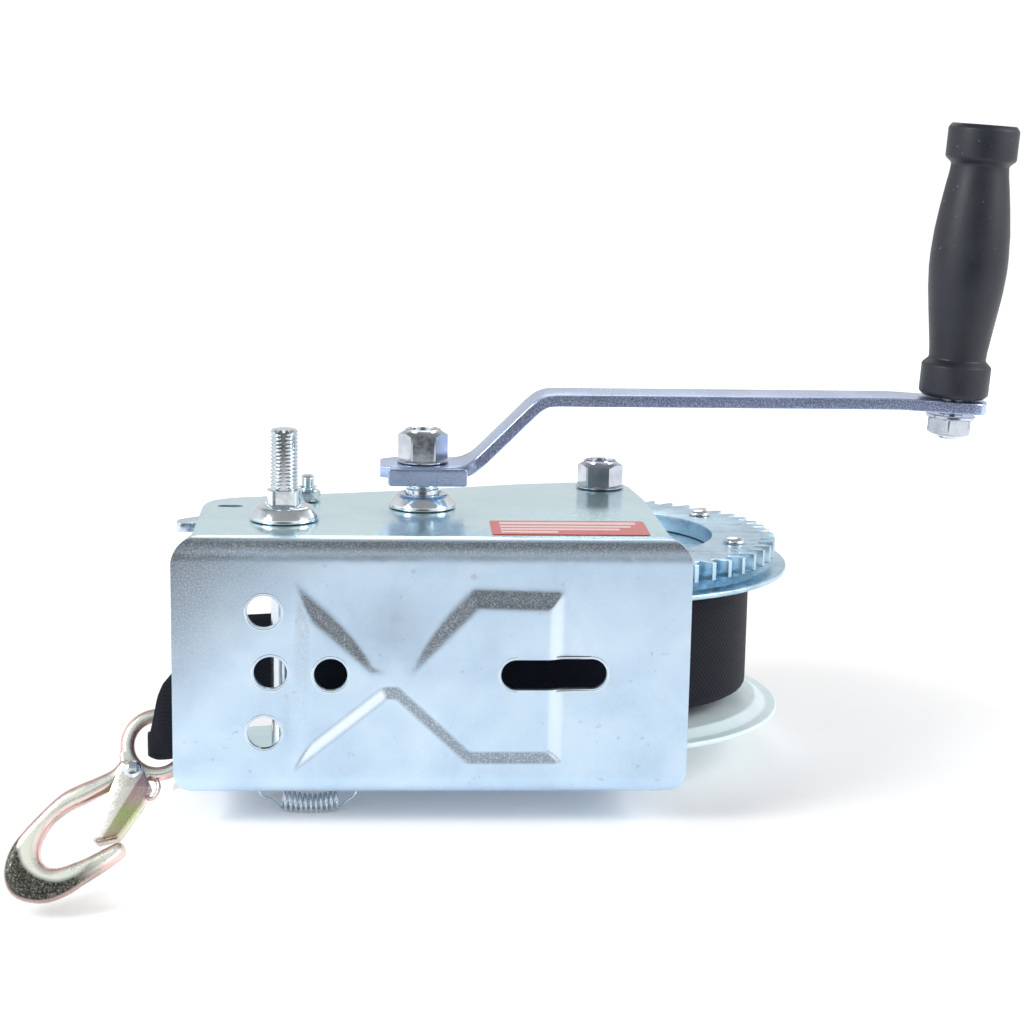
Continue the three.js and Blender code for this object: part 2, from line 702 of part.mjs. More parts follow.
addFrame();
addDrum();
addShafts();
addPawl();
addGrip();
addHook();

export default part;
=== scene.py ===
import math

import bmesh
import bpy
from mathutils import Matrix, Vector


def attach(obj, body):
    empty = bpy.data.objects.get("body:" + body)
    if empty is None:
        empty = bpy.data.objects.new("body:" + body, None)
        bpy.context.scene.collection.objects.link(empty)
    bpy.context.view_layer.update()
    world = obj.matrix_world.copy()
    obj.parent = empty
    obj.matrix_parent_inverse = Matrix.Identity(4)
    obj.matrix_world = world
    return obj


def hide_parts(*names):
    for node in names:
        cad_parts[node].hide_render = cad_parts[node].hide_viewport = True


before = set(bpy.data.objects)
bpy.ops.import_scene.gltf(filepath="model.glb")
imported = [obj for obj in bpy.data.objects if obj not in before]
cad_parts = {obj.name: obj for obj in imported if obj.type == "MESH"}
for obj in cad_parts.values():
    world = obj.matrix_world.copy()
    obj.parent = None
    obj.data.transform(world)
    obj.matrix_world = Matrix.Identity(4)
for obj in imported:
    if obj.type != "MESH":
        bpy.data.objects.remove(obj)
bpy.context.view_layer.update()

# Drawing measures are millimetres from the base plate's lower left corner.
ORIGIN = (112.0, -1.98, 53.5)
CRANK = (103.74, 71.94)
LOW = (44.4, 42.1)
DRUM = (187.4, 122.2)
PAWL = (52.8, 84.0)
GRIP_X, GRIP_Z, GRIP_LEAN = 338.6, 161.0, 3.5
HOOK = (-12.4, 58.0, 4.7)
HOOK_LEAN = 30.0
PIN = (-22.2, -7.6)
TAU = 2 * math.pi
TABLE_EDGE, TABLE_TOP, FLOOR_TOP = -5.5, -13.4, -63.2


def row(x, y, z):
    """A point of the drawing as a place in the scene, in metres."""
    return Vector(((x - ORIGIN[0]) / 1000, (y - ORIGIN[1]) / 1000, (z - ORIGIN[2]) / 1000))


# ---------------------------------------------------------------- camera
def add_camera():
    """The photograph's camera, as fitted to the winch's edges and circles."""
    yaw, pitch, roll = 0.0609, 0.19413, 0.01792
    ahead = Vector((math.sin(yaw) * math.cos(pitch), math.cos(yaw) * math.cos(pitch), -math.sin(pitch)))
    right = Vector((math.cos(yaw), -math.sin(yaw), 0))
    up = right.cross(ahead)
    rolled_right = math.cos(roll) * right + math.sin(roll) * up
    rolled_up = -math.sin(roll) * right + math.cos(roll) * up
    camera = bpy.data.objects.new("camera", bpy.data.cameras.new("camera"))
    bpy.context.scene.collection.objects.link(camera)
    camera.data.lens = 74.99
    camera.data.sensor_width = 36
    camera.data.clip_start = 0.01
    place = row(87.003, -854.54, 290.31)
    camera.matrix_world = Matrix((
        (rolled_right.x, rolled_up.x, -ahead.x, place.x),
        (rolled_right.y, rolled_up.y, -ahead.y, place.y),
        (rolled_right.z, rolled_up.z, -ahead.z, place.z),
        (0, 0, 0, 1),
    ))
    bpy.context.scene.camera = camera


add_camera()


# ---------------------------------------------------------------- materials
def colour_ramp(tree, value, stops):
    """A colour by value: each stop is a place and a colour, or a place and a grey level."""
    made = tree.nodes.new("ShaderNodeValToRGB")
    points = made.color_ramp.elements
    while len(points) < len(stops):
        points.new(0.5)
    for point, (at, colour) in zip(points, stops):
        point.position = at
        point.color = (*colour, 1) if isinstance(colour, tuple) else (colour, colour, colour, 1)
    tree.links.new(value, made.inputs["Fac"])
    return made.outputs["Color"]


def feed(tree, socket, value):
    """Puts a number or a colour on a socket, or links another node's output to it."""
    if isinstance(value, (int, float)):
        socket.default_value = value
    elif isinstance(value, tuple):
        socket.default_value = (*value, 1)
    else:
        tree.links.new(value, socket)


def colour_mix(tree, share, a, b, how="MIX"):
    """Two colours mixed, where each of the three may be another node's output."""
    made = tree.nodes.new("ShaderNodeMix")
    made.data_type = "RGBA"
    made.blend_type = how
    for key, value in (("Factor", share), ("A", a), ("B", b)):
        feed(tree, made.inputs[key], value)
    return made.outputs["Result"]


def map_range(tree, value, low, high, start, end):
    """Maps start to end onto low to high, and holds the ends beyond them."""
    made = tree.nodes.new("ShaderNodeMapRange")
    for key, level in (("From Min", start), ("From Max", end), ("To Min", low), ("To Max", high)):
        made.inputs[key].default_value = level
    tree.links.new(value, made.inputs["Value"])
    return made.outputs["Result"]


class Paint:
    """A node material built up a node at a time."""

    def __init__(self, name):
        self.material = bpy.data.materials.new(name)
        self.material.use_nodes = True
        self.tree = self.material.node_tree
        self.shader = self.tree.nodes["Principled BSDF"]
        self.coords = self.tree.nodes.new("ShaderNodeTexCoord")

    def node(self, kind, **values):
        """A new node with its settings."""
        made = self.tree.nodes.new(kind)
        for key, value in values.items():
            setattr(made, key, value)
        return made

    def link(self, a, b):
        self.tree.links.new(a, b)

    def vector(self, scale=(1, 1, 1), uv=False):
        """Object or UV coordinates, scaled."""
        mapping = self.node("ShaderNodeMapping")
        mapping.inputs["Scale"].default_value = scale
        self.link(self.coords.outputs["UV" if uv else "Object"], mapping.inputs["Vector"])
        return mapping.outputs["Vector"]

    def noise(self, scale, detail=4, rough=0.55, stretch=(1, 1, 1), warp=0.0):
        """Noise from 0 to 1, in object coordinates."""
        made = self.node("ShaderNodeTexNoise")
        made.inputs["Scale"].default_value = scale
        made.inputs["Detail"].default_value = detail
        made.inputs["Roughness"].default_value = rough
        made.inputs["Distortion"].default_value = warp
        self.link(self.vector(stretch), made.inputs["Vector"])
        return made.outputs["Fac"]

    def ramp(self, value, stops):
        return colour_ramp(self.tree, value, stops)

    def shades(self, value, dark, light):
        """Two shades, blended over the middle of a noise."""
        return self.ramp(value, [(0.3, dark), (0.7, light)])

    def span(self, value, low, high, start=0.3, end=0.7):
        return map_range(self.tree, value, low, high, start, end)

    def mix(self, share, a, b):
        return colour_mix(self.tree, share, a, b)

    def maths(self, kind, a, b=0.5, clamp=False):
        made = self.node("ShaderNodeMath", operation=kind, use_clamp=clamp)
        for socket, value in zip(made.inputs, (a, b)):
            feed(self.tree, socket, value)
        return made.outputs["Value"]

    def times(self, a, b, clamp=False):
        return self.maths("MULTIPLY", a, b, clamp)

    def plus(self, a, b):
        return self.maths("ADD", a, b)

    def most(self, a, b, clamp=False):
        return self.maths("MAXIMUM", a, b, clamp)

    def parts(self, vector):
        """The X, Y and Z of a vector."""
        made = self.node("ShaderNodeSeparateXYZ")
        self.link(vector, made.inputs["Vector"])
        return made.outputs["X"], made.outputs["Y"], made.outputs["Z"]

    def bump(self, height, distance, strength, after=None):
        """A normal from a height, on top of the one before it."""
        made = self.node("ShaderNodeBump")
        made.inputs["Strength"].default_value = strength
        made.inputs["Distance"].default_value = distance
        self.link(height, made.inputs["Height"])
        if after:
            self.link(after, made.inputs["Normal"])
        return made.outputs["Normal"]

    def finish(self, colour, rough, normal, **fixed):
        """Links what is given, and sets the shader's other values."""
        for key, value in (("Base Color", colour), ("Roughness", rough), ("Normal", normal)):
            if value is not None:
                self.link(value, self.shader.inputs[key])
        for key, value in fixed.items():
            self.shader.inputs[key.replace("_", " ")].default_value = value
        return self.material


def sheet_zinc():
    """The folded frame: mottled blue face, dark grain where the sheet was stretched mixed with painted shade
    on slopes by the way they face, a painted highlight on slopes that face right, and a glossy top painted
    lighter as a painted reflection.
    """
    p = Paint("zinc_sheet")
    place_x, _, place_z = p.parts(p.vector())
    nx, ny, nz = p.parts(p.coords.outputs["Normal"])
    on_top = p.span(nz, 0, 1, 0.90, 0.98)
    cloud = p.noise(30, 5, 0.6, warp=0.4)
    fine = p.noise(700, 3, 0.7)
    spark = p.noise(1500, 4, 0.75)
    streak = p.noise(70, 3, 0.55, stretch=(0.3, 1, 2.4))
    # The mottled face, with small pits.
    face = p.ramp(cloud, [(0.28, (0.51, 0.66, 0.82)), (0.50, (0.58, 0.74, 0.90)), (0.72, (0.65, 0.80, 0.93))])
    face = p.mix(p.span(fine, 0, 0.3, 0.5, 0.75), face, (0.74, 0.83, 0.90))
    pit = p.span(p.noise(210, 2, 0.5), 0, 0.35, 0.70, 0.76)
    face = p.mix(pit, face, (0.30, 0.38, 0.47))
    # The dark grain's colours, which also carry the painted shade on the slopes.
    grain = p.ramp(spark, [
        (0.38, (0.07, 0.085, 0.10)), (0.50, (0.21, 0.24, 0.28)), (0.62, (0.56, 0.61, 0.66))])
    # Where the dark grain goes, partly real stretched grain and partly painted shade placed by the way each
    # surface faces: surfaces that face up, the panels' lower slopes, their left slopes and their rim.
    front = p.span(ny, 1, 0, -0.35, -0.12)
    bend = p.span(place_z, 0, 1, 0.0450, 0.0470)
    up = p.mix(bend, p.span(nz, 0, 0.95, 0.08, 0.17), p.span(nz, 0, 0.95, 0.06, 0.66))
    up = p.times(up, p.span(nz, 1, 0, 0.80, 0.93))
    on_panel = p.span(place_z, 0, 1, -0.0455, -0.0430)
    slope = p.times(p.span(nz, 0, 1, -0.08, -0.22), on_panel)
    down = p.times(slope, p.span(nx, 0.85, 0, 0.05, 0.20), True)
    rim = p.times(p.span(nz, 0, 1, -0.03, -0.07), p.span(nz, 1, 0, -0.12, -0.18))
    rim = p.times(p.times(rim, on_panel), p.span(nx, 0, 0.5, 0.03, 0.12))
    left = p.times(p.span(nx, 0, 0.5, -0.12, -0.26), p.span(place_z, 0.1, 1, -0.03, 0.03))
    grain_and_painted_shade = p.most(p.most(up, down), p.most(left, rim))
    # Grain also spreads from the face's upper left corner.
    corner = p.span(p.plus(place_x, p.times(place_z, -0.9)), 1.0, 0, -0.158, -0.085)
    grain_and_painted_shade = p.most(p.times(grain_and_painted_shade, front), p.times(corner, front), True)
    grain_and_painted_shade = p.times(grain_and_painted_shade, p.span(spark, 0.70, 1.1, 0.3, 0.6), True)
    # Painted highlight: slopes that face right are painted bright instead, the lower ones most.
    painted_highlight = p.times(p.times(slope, p.span(nx, 0, 0.9, 0.08, 0.20)), front)
    painted_highlight = p.most(painted_highlight, p.times(p.span(nx, 0, 0.35, 0.08, 0.20), on_panel))
    face = p.mix(painted_highlight, face, (0.86, 0.92, 0.96))
    face = p.mix(grain_and_painted_shade, face, grain)
    # Painted reflection: the top plate is painted lighter and more cyan than the face, though it is the same
    # sheet.
    top = p.shades(cloud, (0.56, 0.77, 0.83), (0.69, 0.89, 0.94))
    colour = p.mix(on_top, face, top)
    rough = p.plus(p.span(cloud, 0.42, 0.30), p.span(fine, -0.04, 0.08))
    rough = p.plus(rough, p.span(on_top, 0, -0.19, 0, 1))
    normal = p.bump(fine, 0.00004, 0.4)
    normal = p.bump(streak, 0.0002, 0.22, normal)
    return p.finish(colour, rough, normal, Metallic=0.9)


def zinc(name, base, light, rough, grain=260, depth=0.00003, metal=0.95):
    """Plain plating: two shades in soft clouds."""
    p = Paint(name)
    cloud = p.noise(85, 4, 0.6)
    fine = p.noise(grain * 4, 3, 0.6)
    colour = p.shades(cloud, base, light)
    shine = p.span(cloud, rough[0], rough[1])
    shine = p.plus(shine, p.span(fine, -0.03, 0.05))
    return p.finish(colour, shine, p.bump(fine, depth, 0.5), Metallic=metal)


def rolled_zinc():
    """The crank bar: smooth plated faces and a sparkling sheared side."""
    p = Paint("zinc_bar")
    facing_y = p.parts(p.coords.outputs["Normal"])[1]
    place_x = p.parts(p.vector())[0]
    side = p.span(p.maths("ABSOLUTE", facing_y), 0, 1, 0.80, 0.93)
    side = p.times(side, p.span(place_x, 0.15, 1, 0.012, 0.015))
    spark = p.noise(1500, 4, 0.75)
    cloud = p.noise(40, 4, 0.5)
    smooth = p.shades(cloud, (0.42, 0.53, 0.76), (0.52, 0.61, 0.84))
    rough_face = p.ramp(spark, [
        (0.38, (0.10, 0.12, 0.20)), (0.52, (0.21, 0.25, 0.38)), (0.66, (0.52, 0.58, 0.74))])
    colour = p.mix(side, smooth, rough_face)
    rough = p.plus(p.span(cloud, 0.20, 0.32), p.span(side, 0, 0.22, 0, 1))
    return p.finish(colour, rough, p.bump(spark, 0.00012, 0.45), Metallic=0.92)


def hook_axes(p):
    """Places in the hook's own plane, in metres from its eye, and how squarely a surface faces out of it."""
    moved = p.node("ShaderNodeMapping")
    centre = row(*HOOK)
    moved.inputs["Location"].default_value = (-centre.x, -centre.y, -centre.z)
    p.link(p.coords.outputs["Object"], moved.inputs["Vector"])
    place_x, place_y, place_z = p.parts(moved.outputs["Vector"])
    _, facing_y, facing_z = p.parts(p.coords.outputs["Normal"])
    sine, cosine = math.sin(math.radians(HOOK_LEAN)), math.cos(math.radians(HOOK_LEAN))
    v = p.plus(p.times(place_y, sine), p.times(place_z, cosine))
    flat = p.maths("SUBTRACT", p.times(facing_y, cosine), p.times(facing_z, sine))
    return place_x, v, p.maths("ABSOLUTE", flat)


def yellow_zinc():
    """Cream plating with a pink bloom on the edges and a dark pitted heel."""
    p = Paint("yellow_zinc")
    u, v, flat = hook_axes(p)
    cloud = p.noise(60, 4, 0.5, warp=1.0)
    film = p.noise(30, 3, 0.5, warp=1.6)
    pit = p.noise(1100, 4, 0.75)
    face = p.ramp(film, [(0.30, (0.90, 0.92, 0.80)), (0.45, (0.96, 0.95, 0.86)), (0.58, (0.84, 0.93, 0.82)),
                         (0.72, (0.95, 0.89, 0.84))])
    edge = p.ramp(film, [(0.35, (0.62, 0.42, 0.40)), (0.55, (0.76, 0.54, 0.52)), (0.70, (0.50, 0.44, 0.36))])
    colour = p.mix(p.span(flat, 1, 0, 0.86, 0.96), face, edge)
    du = p.plus(u, 0.0412)
    dv = p.plus(v, 0.0440)
    reach = p.maths("SQRT", p.plus(p.times(du, du), p.times(dv, dv)))
    heel = p.span(p.plus(reach, p.times(cloud, 0.002)), 0, 1, 0.0165, 0.0185)
    lower = p.plus(p.times(du, -0.66), p.times(dv, -0.75))
    heel = p.times(heel, p.span(lower, 0, 1, -0.010, 0.006))
    heel = p.times(heel, p.span(flat, 0.35, 1, 0.4, 0.8))
    dark = p.ramp(pit, [
        (0.40, (0.016, 0.018, 0.016)), (0.54, (0.085, 0.088, 0.074)), (0.66, (0.34, 0.34, 0.28))])
    colour = p.mix(heel, colour, dark)
    rough = p.plus(p.span(cloud, 0.20, 0.32), p.span(heel, 0, 0.12, 0, 1))
    depth = p.bump(pit, 0.00010, 0.45)
    return p.finish(colour, rough, depth, Metallic=0.75)


def latch_zinc():
    """The folded latch: cream sides, and a pink and olive bloom along its back."""
    p = Paint("yellow_zinc_latch")
    u, v, flat = hook_axes(p)
    shift = p.plus(v, p.times(p.noise(60, 3, 0.5), 0.006))
    bloom = p.ramp(p.span(shift, 0, 1, -0.044, -0.012), [
        (0.05, (0.55, 0.40, 0.38)), (0.25, (0.50, 0.47, 0.30)), (0.48, (0.42, 0.50, 0.22)),
        (0.68, (0.56, 0.42, 0.40)), (0.95, (0.46, 0.34, 0.38))])
    side = p.shades(p.noise(80, 3, 0.5), (0.86, 0.86, 0.80), (0.94, 0.93, 0.87))
    du = p.times(p.plus(u, 0.002), -0.868)
    back = p.plus(du, p.times(p.plus(v, 0.0195), 0.496))
    fold = p.most(p.span(back, 1, 0, 0.0052, 0.0060), p.span(flat, 1, 0, 0.55, 0.85))
    colour = p.mix(fold, side, bloom)
    fine = p.noise(900, 3, 0.6)
    return p.finish(colour, p.span(fine, 0.20, 0.32), p.bump(fine, 0.00003, 0.4), Metallic=0.88)


def webbing():
    """Dark woven webbing. UV is metres along the strap and across it."""
    p = Paint("webbing")
    along, across, _ = p.parts(p.vector(uv=True))
    a = p.times(along, TAU / 0.0022)
    b = p.times(across, TAU / 0.0026)
    twill = p.maths("SINE", p.plus(a, b))
    cord = p.maths("SINE", p.times(b, 2.0))
    height = p.plus(twill, p.times(cord, 0.7))
    fluff = p.noise(2400, 3, 0.7)
    height = p.plus(height, fluff)
    edge = p.span(p.maths("ABSOLUTE", p.maths("SUBTRACT", across, 0.025)), 0, 1, 0.0222, 0.0230)
    shade = p.shades(p.noise(55, 4, 0.6), (0.003, 0.004, 0.009), (0.006, 0.007, 0.015))
    light = p.mix(p.span(twill, 0, 0.16, -1, 1), shade, (0.012, 0.014, 0.024))
    colour = p.mix(p.times(edge, 0.5), light, (0.013, 0.014, 0.022))
    rough = p.span(twill, 0.70, 0.54, -1, 1)
    return p.finish(colour, rough, p.bump(height, 0.00010, 0.4), Specular_IOR_Level=0.2)


def thread_yarn():
    """Dark stitching yarn."""
    p = Paint("stitch_yarn")
    ply = p.noise(1800, 3, 0.6)
    colour = p.shades(ply, (0.020, 0.020, 0.026), (0.055, 0.055, 0.066))
    return p.finish(colour, None, p.bump(ply, 0.0001, 0.6), Roughness=0.6, Sheen_Weight=0.3)


def grip_plastic():
    """Dark moulded plastic with a few pale specks near its top."""
    p = Paint("grip_plastic")
    grain = p.noise(900, 3, 0.6)
    wear = p.noise(70, 5, 0.65)
    speck = p.noise(620, 2, 0.5)
    height = p.parts(p.vector())[2]
    colour = p.shades(wear, (0.008, 0.010, 0.017), (0.016, 0.019, 0.030))
    near_top = p.span(height, 0, 1, 0.150, 0.185)
    dots = p.times(p.span(speck, 0, 1, 0.745, 0.775), p.times(near_top, 0.6))
    colour = p.mix(dots, colour, (0.55, 0.55, 0.56))
    rough = p.plus(p.span(wear, 0.36, 0.50), p.span(grain, -0.03, 0.06))
    return p.finish(colour, rough, p.bump(grain, 0.00006, 0.5), Specular_IOR_Level=0.4)


def label_red():
    """A plain red sticker with white bars. UV runs 0 to 1 across it."""
    p = Paint("label_red")
    u, v, _ = p.parts(p.vector(uv=True))
    bars = None
    for low, high, start, end in ((0.74, 0.90, 0.06, 0.94), (0.52, 0.64, 0.06, 0.90),
                                  (0.32, 0.44, 0.06, 0.82), (0.12, 0.24, 0.06, 0.42)):
        inside = p.times(p.maths("GREATER_THAN", v, low), p.maths("LESS_THAN", v, high))
        along = p.times(p.maths("GREATER_THAN", u, start), p.maths("LESS_THAN", u, end))
        bar = p.times(inside, along)
        bars = bar if bars is None else p.most(bars, bar)
    ink = p.noise(300, 3, 0.6)
    red = p.shades(ink, (0.50, 0.050, 0.055), (0.60, 0.075, 0.075))
    colour = p.mix(p.times(bars, 0.78), red, (0.84, 0.74, 0.72))
    return p.finish(colour, None, p.bump(ink, 0.00004, 0.3), Roughness=0.34, Coat_Weight=0.3)


def floor_paint():
    """White, glowing far from the winch and along the table's edge, so that shadows fade out there."""
    p = Paint("studio_floor")
    grain = p.noise(60, 3, 0.5)
    colour = p.shades(grain, (0.89, 0.89, 0.895), (0.91, 0.91, 0.915))
    reach = p.node("ShaderNodeVectorMath", operation="LENGTH")
    p.link(p.coords.outputs["Object"], reach.inputs[0])
    place_x = p.parts(p.coords.outputs["Object"])[0]
    from_edge = p.maths("ABSOLUTE", p.maths("SUBTRACT", place_x, row(TABLE_EDGE, 0, 0).x))
    far_glow = p.span(reach.outputs["Value"], 0.10, 0.52, 0.35, 1.1)
    glow = p.most(far_glow, p.span(from_edge, 0.32, 0.10, 0.002, 0.030))
    p.link(glow, p.shader.inputs["Emission Strength"])
    return p.finish(colour, None, None, Roughness=0.9, Specular_IOR_Level=0.05, Emission_Color=(1, 1, 1, 1))


SHEET = sheet_zinc()
PLATED = zinc("zinc_plated", (0.48, 0.58, 0.68), (0.62, 0.72, 0.81), (0.18, 0.30))
BRIGHT = zinc("zinc_bright", (0.58, 0.65, 0.71), (0.76, 0.81, 0.85), (0.07, 0.14), 160, 0.00001)
DRUM_ZINC = zinc("zinc_drum", (0.36, 0.53, 0.66), (0.54, 0.71, 0.83), (0.24, 0.36))
NUT = zinc("zinc_nut", (0.36, 0.39, 0.45), (0.58, 0.62, 0.68), (0.07, 0.14), 160, 0.00001)
# A pale, nearly non-metallic copy of the drum's zinc for the lower flange: its near white is a painted
# reflection of the bright floor.
FLANGE_PAINTED_REFLECTION = zinc("zinc_flange_painted_reflection", (0.74, 0.91, 0.95), (0.87, 0.97, 0.99), (0.40, 0.52), metal=0.10)
BAR = rolled_zinc()
GOLD = yellow_zinc()
LATCH = latch_zinc()
STRAP = webbing()
YARN = thread_yarn()
PLASTIC = grip_plastic()
STICKER = label_red()
FLOOR = floor_paint()


# ---------------------------------------------------------------- mesh helpers
def add_mesh(name, points, faces, material, smooth=32, uv=None):
    """A mesh object from points of the drawing. uv holds one pair for each point."""
    mesh = bpy.data.meshes.new(name)
    mesh.from_pydata([row(*p) for p in points], [], faces)
    if uv is not None:
        layer = mesh.uv_layers.new(name="UVMap")
        for loop in mesh.loops:
            layer.data[loop.index].uv = uv[loop.vertex_index]
    made = bpy.data.objects.new(name, mesh)
    bpy.context.scene.collection.objects.link(made)
    mesh.materials.append(material)
    shade(made, smooth)
    return made


def shade(thing, angle):
    """Smooth shading, with edges sharp where they turn by more than the angle."""
    thing.data.polygons.foreach_set("use_smooth", [True] * len(thing.data.polygons))
    thing.data.set_sharp_from_angle(angle=math.radians(angle))
    thing.data.update()


def fix_normals(thing):
    """Joins points that coincide and turns every face outward."""
    work = bmesh.new()
    work.from_mesh(thing.data)
    bmesh.ops.remove_doubles(work, verts=work.verts, dist=1e-6)
    bmesh.ops.recalc_face_normals(work, faces=work.faces)
    work.to_mesh(thing.data)
    work.free()


def add_solid(name, points, faces, material, smooth, uv=None):
    """A closed mesh whose faces all look outward."""
    made = add_mesh(name, points, faces, material, smooth, uv)
    fix_normals(made)
    shade(made, smooth)
    return made


def skin(rows, across, ends=True):
    """Faces over rows of points, each row a closed ring, with the first and last filled in if ends is set."""
    faces = []
    for i in range(rows - 1):
        for k in range(across):
            j = (k + 1) % across
            faces.append((i * across + k, i * across + j, (i + 1) * across + j, (i + 1) * across + k))
    if ends:
        faces.append(tuple(range(across))[::-1])
        faces.append(tuple((rows - 1) * across + k for k in range(across)))
    return faces


def rings(name, centre, levels, material, steps=72, smooth=32, turn=None):
    """A closed surface of rings about an upright axis. A level is (radius, z), each a number or f(angle)."""
    points = []
    for radius, z in levels:
        for i in range(steps):
            a = TAU * i / steps
            r = radius(a) if callable(radius) else radius
            h = z(a) if callable(z) else z
            points.append((centre[0] + r * math.cos(a), centre[1] + r * math.sin(a), h))
    if turn:
        points = [turn(p) for p in points]
    hollow = levels[0] == levels[-1]
    faces = skin(len(levels), steps, not hollow)
    if hollow:
        last = (len(levels) - 1) * steps
        faces = [tuple(v % last for v in face) for face in faces]
        points = points[:last]
    return add_solid(name, points, faces, material, smooth)


def softened(profile, radius=0.4, closed=True, steps=3):
    """The profile with its corners rounded."""
    count = len(profile)
    out = []
    for i, point in enumerate(profile):
        if not closed and i in (0, count - 1):
            out.append(point)
            continue
        before = Vector(profile[i - 1])
        after = Vector(profile[(i + 1) % count])
        here = Vector(point)
        a, b = before - here, after - here
        if a.length < 1e-6 or b.length < 1e-6 or a.angle(b) > 3.0:
            out.append(point)
            continue
        cut = min(radius, 0.42 * a.length, 0.42 * b.length)
        p, q = here + a.normalized() * cut, here + b.normalized() * cut
        for k in range(steps + 1):
            t = k / steps
            out.append(tuple((1 - t) ** 2 * p + 2 * t * (1 - t) * here + t * t * q))
    return out


def ring_piece(name, centre, profile, material, radius=0.4, steps=72, turn=None, smooth=40):
    """A ring with a bore: the profile is a closed loop of (radius, z)."""
    loop = softened(profile, radius)
    return rings(name, centre, loop + [loop[0]], material, steps, smooth, turn)


def solid_piece(name, centre, profile, material, turn):
    """A turned solid: the profile runs from its lower to its upper end."""
    line = softened(profile, 0.3, closed=False)
    return rings(name, centre, [(max(r, 0.05), z) for r, z in line], material, 64, 40, turn)


def hexagon(flats, turn=math.pi / 6):
    """A hexagon's radius by angle, from its width across flats."""
    def radius(a):
        b = (a - turn) % (math.pi / 3) - math.pi / 6
        return flats / 2 / math.cos(b)
    return radius


def nut(name, centre, flats, bore, z0, z1, flange, material, spin=0.0):
    """A flanged hexagon nut with chamfered corners and a locking ring."""
    hexed = hexagon(flats, spin)
    face = flats / 2 - 0.4

    def crown(a):
        return z1 - 1.5 - max(0.0, hexed(a) - face) * 0.62

    def rolled(a):
        return min(hexed(a), flange - 0.6)
    levels = [(bore, z0), (flange - 0.5, z0), (flange, z0 + 0.35), (flange, z0 + 0.8),
              (flange - 0.3, z0 + 1.1), (rolled, z0 + 1.5), (hexed, z0 + 1.9), (hexed, crown),
              (face, z1 - 1.5), (face - 0.7, z1 - 1.1), (face - 1.0, z1 - 0.9), (face - 1.3, z1 - 0.25),
              (face - 1.9, z1), (bore + 0.9, z1), (bore + 0.3, z1 - 0.3), (bore, z1 - 1.3), (bore, z0)]
    return rings(name, centre, levels, material, 144, 28)


def nut_below(name, centre, flats, bore, z0, z1, flange, turn):
    """A nut whose washer face is on top."""
    hexed = hexagon(flats, 0.2)
    face = flats / 2 - 0.3

    def crown(a):
        return z0 + 0.4 + max(0.0, hexed(a) - face) * 0.62
    levels = [(bore, z1), (flange - 0.4, z1), (flange, z1 - 0.4), (flange, z1 - 1.4),
              (flange - 0.4, z1 - 1.8), (lambda a: min(hexed(a), flange - 0.5), z1 - 2.0),
              (hexed, z1 - 2.4), (hexed, crown), (face, z0 + 0.4), (face - 0.9, z0),
              (bore + 0.6, z0), (bore, z0 + 0.6), (bore, z1)]
    return rings(name, centre, levels, NUT, 144, 28, turn)


def bolt_head(name, centre, flats, z_face, z_end, radius, far, material):
    """A hexagon bolt: its head from z_face to z_end, its shank from there to far."""
    hexed = hexagon(flats)
    way = 1 if z_end > z_face else -1
    face = flats / 2 - 0.3

    def crown(a):
        return z_end - way * (0.5 + max(0.0, hexed(a) - face) * 0.55)
    levels = [(0.05, far), (radius - 0.9, far), (radius, far + way * 0.9), (radius, z_face), (hexed, z_face),
              (hexed, crown), (face, z_end - way * 0.3), (face - 0.8, z_end), (0.05, z_end)]
    return rings(name, centre, levels, material, 144, 28)


def flatted(radius, half):
    """A round bar's radius by angle, with flats at `half` from its axis."""
    return lambda a: min(radius, half / max(abs(math.sin(a)), 1e-6))


def threaded(name, centre, radius, z0, z1, pitch, material, flats=None, lower=(), upper=()):
    """A bar with a helical thread between z0 and z1, and plain rings below and above it."""
    depth = 0.6 * pitch
    levels = list(lower)
    count = int((z1 - z0) / pitch * 8)
    for k in range(count + 1):
        z = z0 + (z1 - z0) * k / count
        ease = min(1, (z1 - z) / pitch + 0.1, (z - z0) / pitch + 0.1)

        def profile(a, z=z, ease=ease):
            phase = (z / pitch - a / TAU) % 1
            r = radius - depth * ease * min(1, max(0, abs(2 * phase - 1) * 1.35 - 0.2))
            return flatted(r, flats)(a) if flats else r
        levels.append((profile, z))
    levels += list(upper)
    return rings(name, centre, levels, material, 72, 26)


def plate(name, outline, holes, z0, z1, material, bevel=0.5, steps=2, smooth=38, place=None):
    """A flat plate with rounded edges, drawn in X and Y, from z0 to z1."""
    curve = bpy.data.curves.new(name, "CURVE")
    curve.dimensions = "2D"
    curve.fill_mode = "BOTH"
    curve.bevel_depth = bevel
    curve.bevel_resolution = steps
    curve.offset = -bevel
    curve.extrude = (z1 - z0) / 2 - bevel
    for loop in [outline, *holes]:
        spline = curve.splines.new("POLY")
        spline.points.add(len(loop) - 1)
        for point, (x, y) in zip(spline.points, loop):
            point.co = (x, y, 0, 1)
        spline.use_cyclic_u = True
    maker = bpy.data.objects.new(name + "_curve", curve)
    bpy.context.scene.collection.objects.link(maker)
    bpy.context.view_layer.update()
    ready = bpy.data.meshes.new_from_object(maker.evaluated_get(bpy.context.evaluated_depsgraph_get()))
    points = [(v.co.x, v.co.y, v.co.z + (z0 + z1) / 2) for v in ready.vertices]
    if place:
        points = [place(p) for p in points]
    faces = [tuple(f.vertices) for f in ready.polygons]
    bpy.data.objects.remove(maker)
    return add_solid(name, points, faces, material, smooth)


def around(centre, radius, angle):
    """The point at an angle on a circle."""
    return (centre[0] + radius * math.cos(angle), centre[1] + radius * math.sin(angle))


def circle(centre, radius, steps=48):
    return [around(centre, radius, TAU * i / steps) for i in range(steps)]


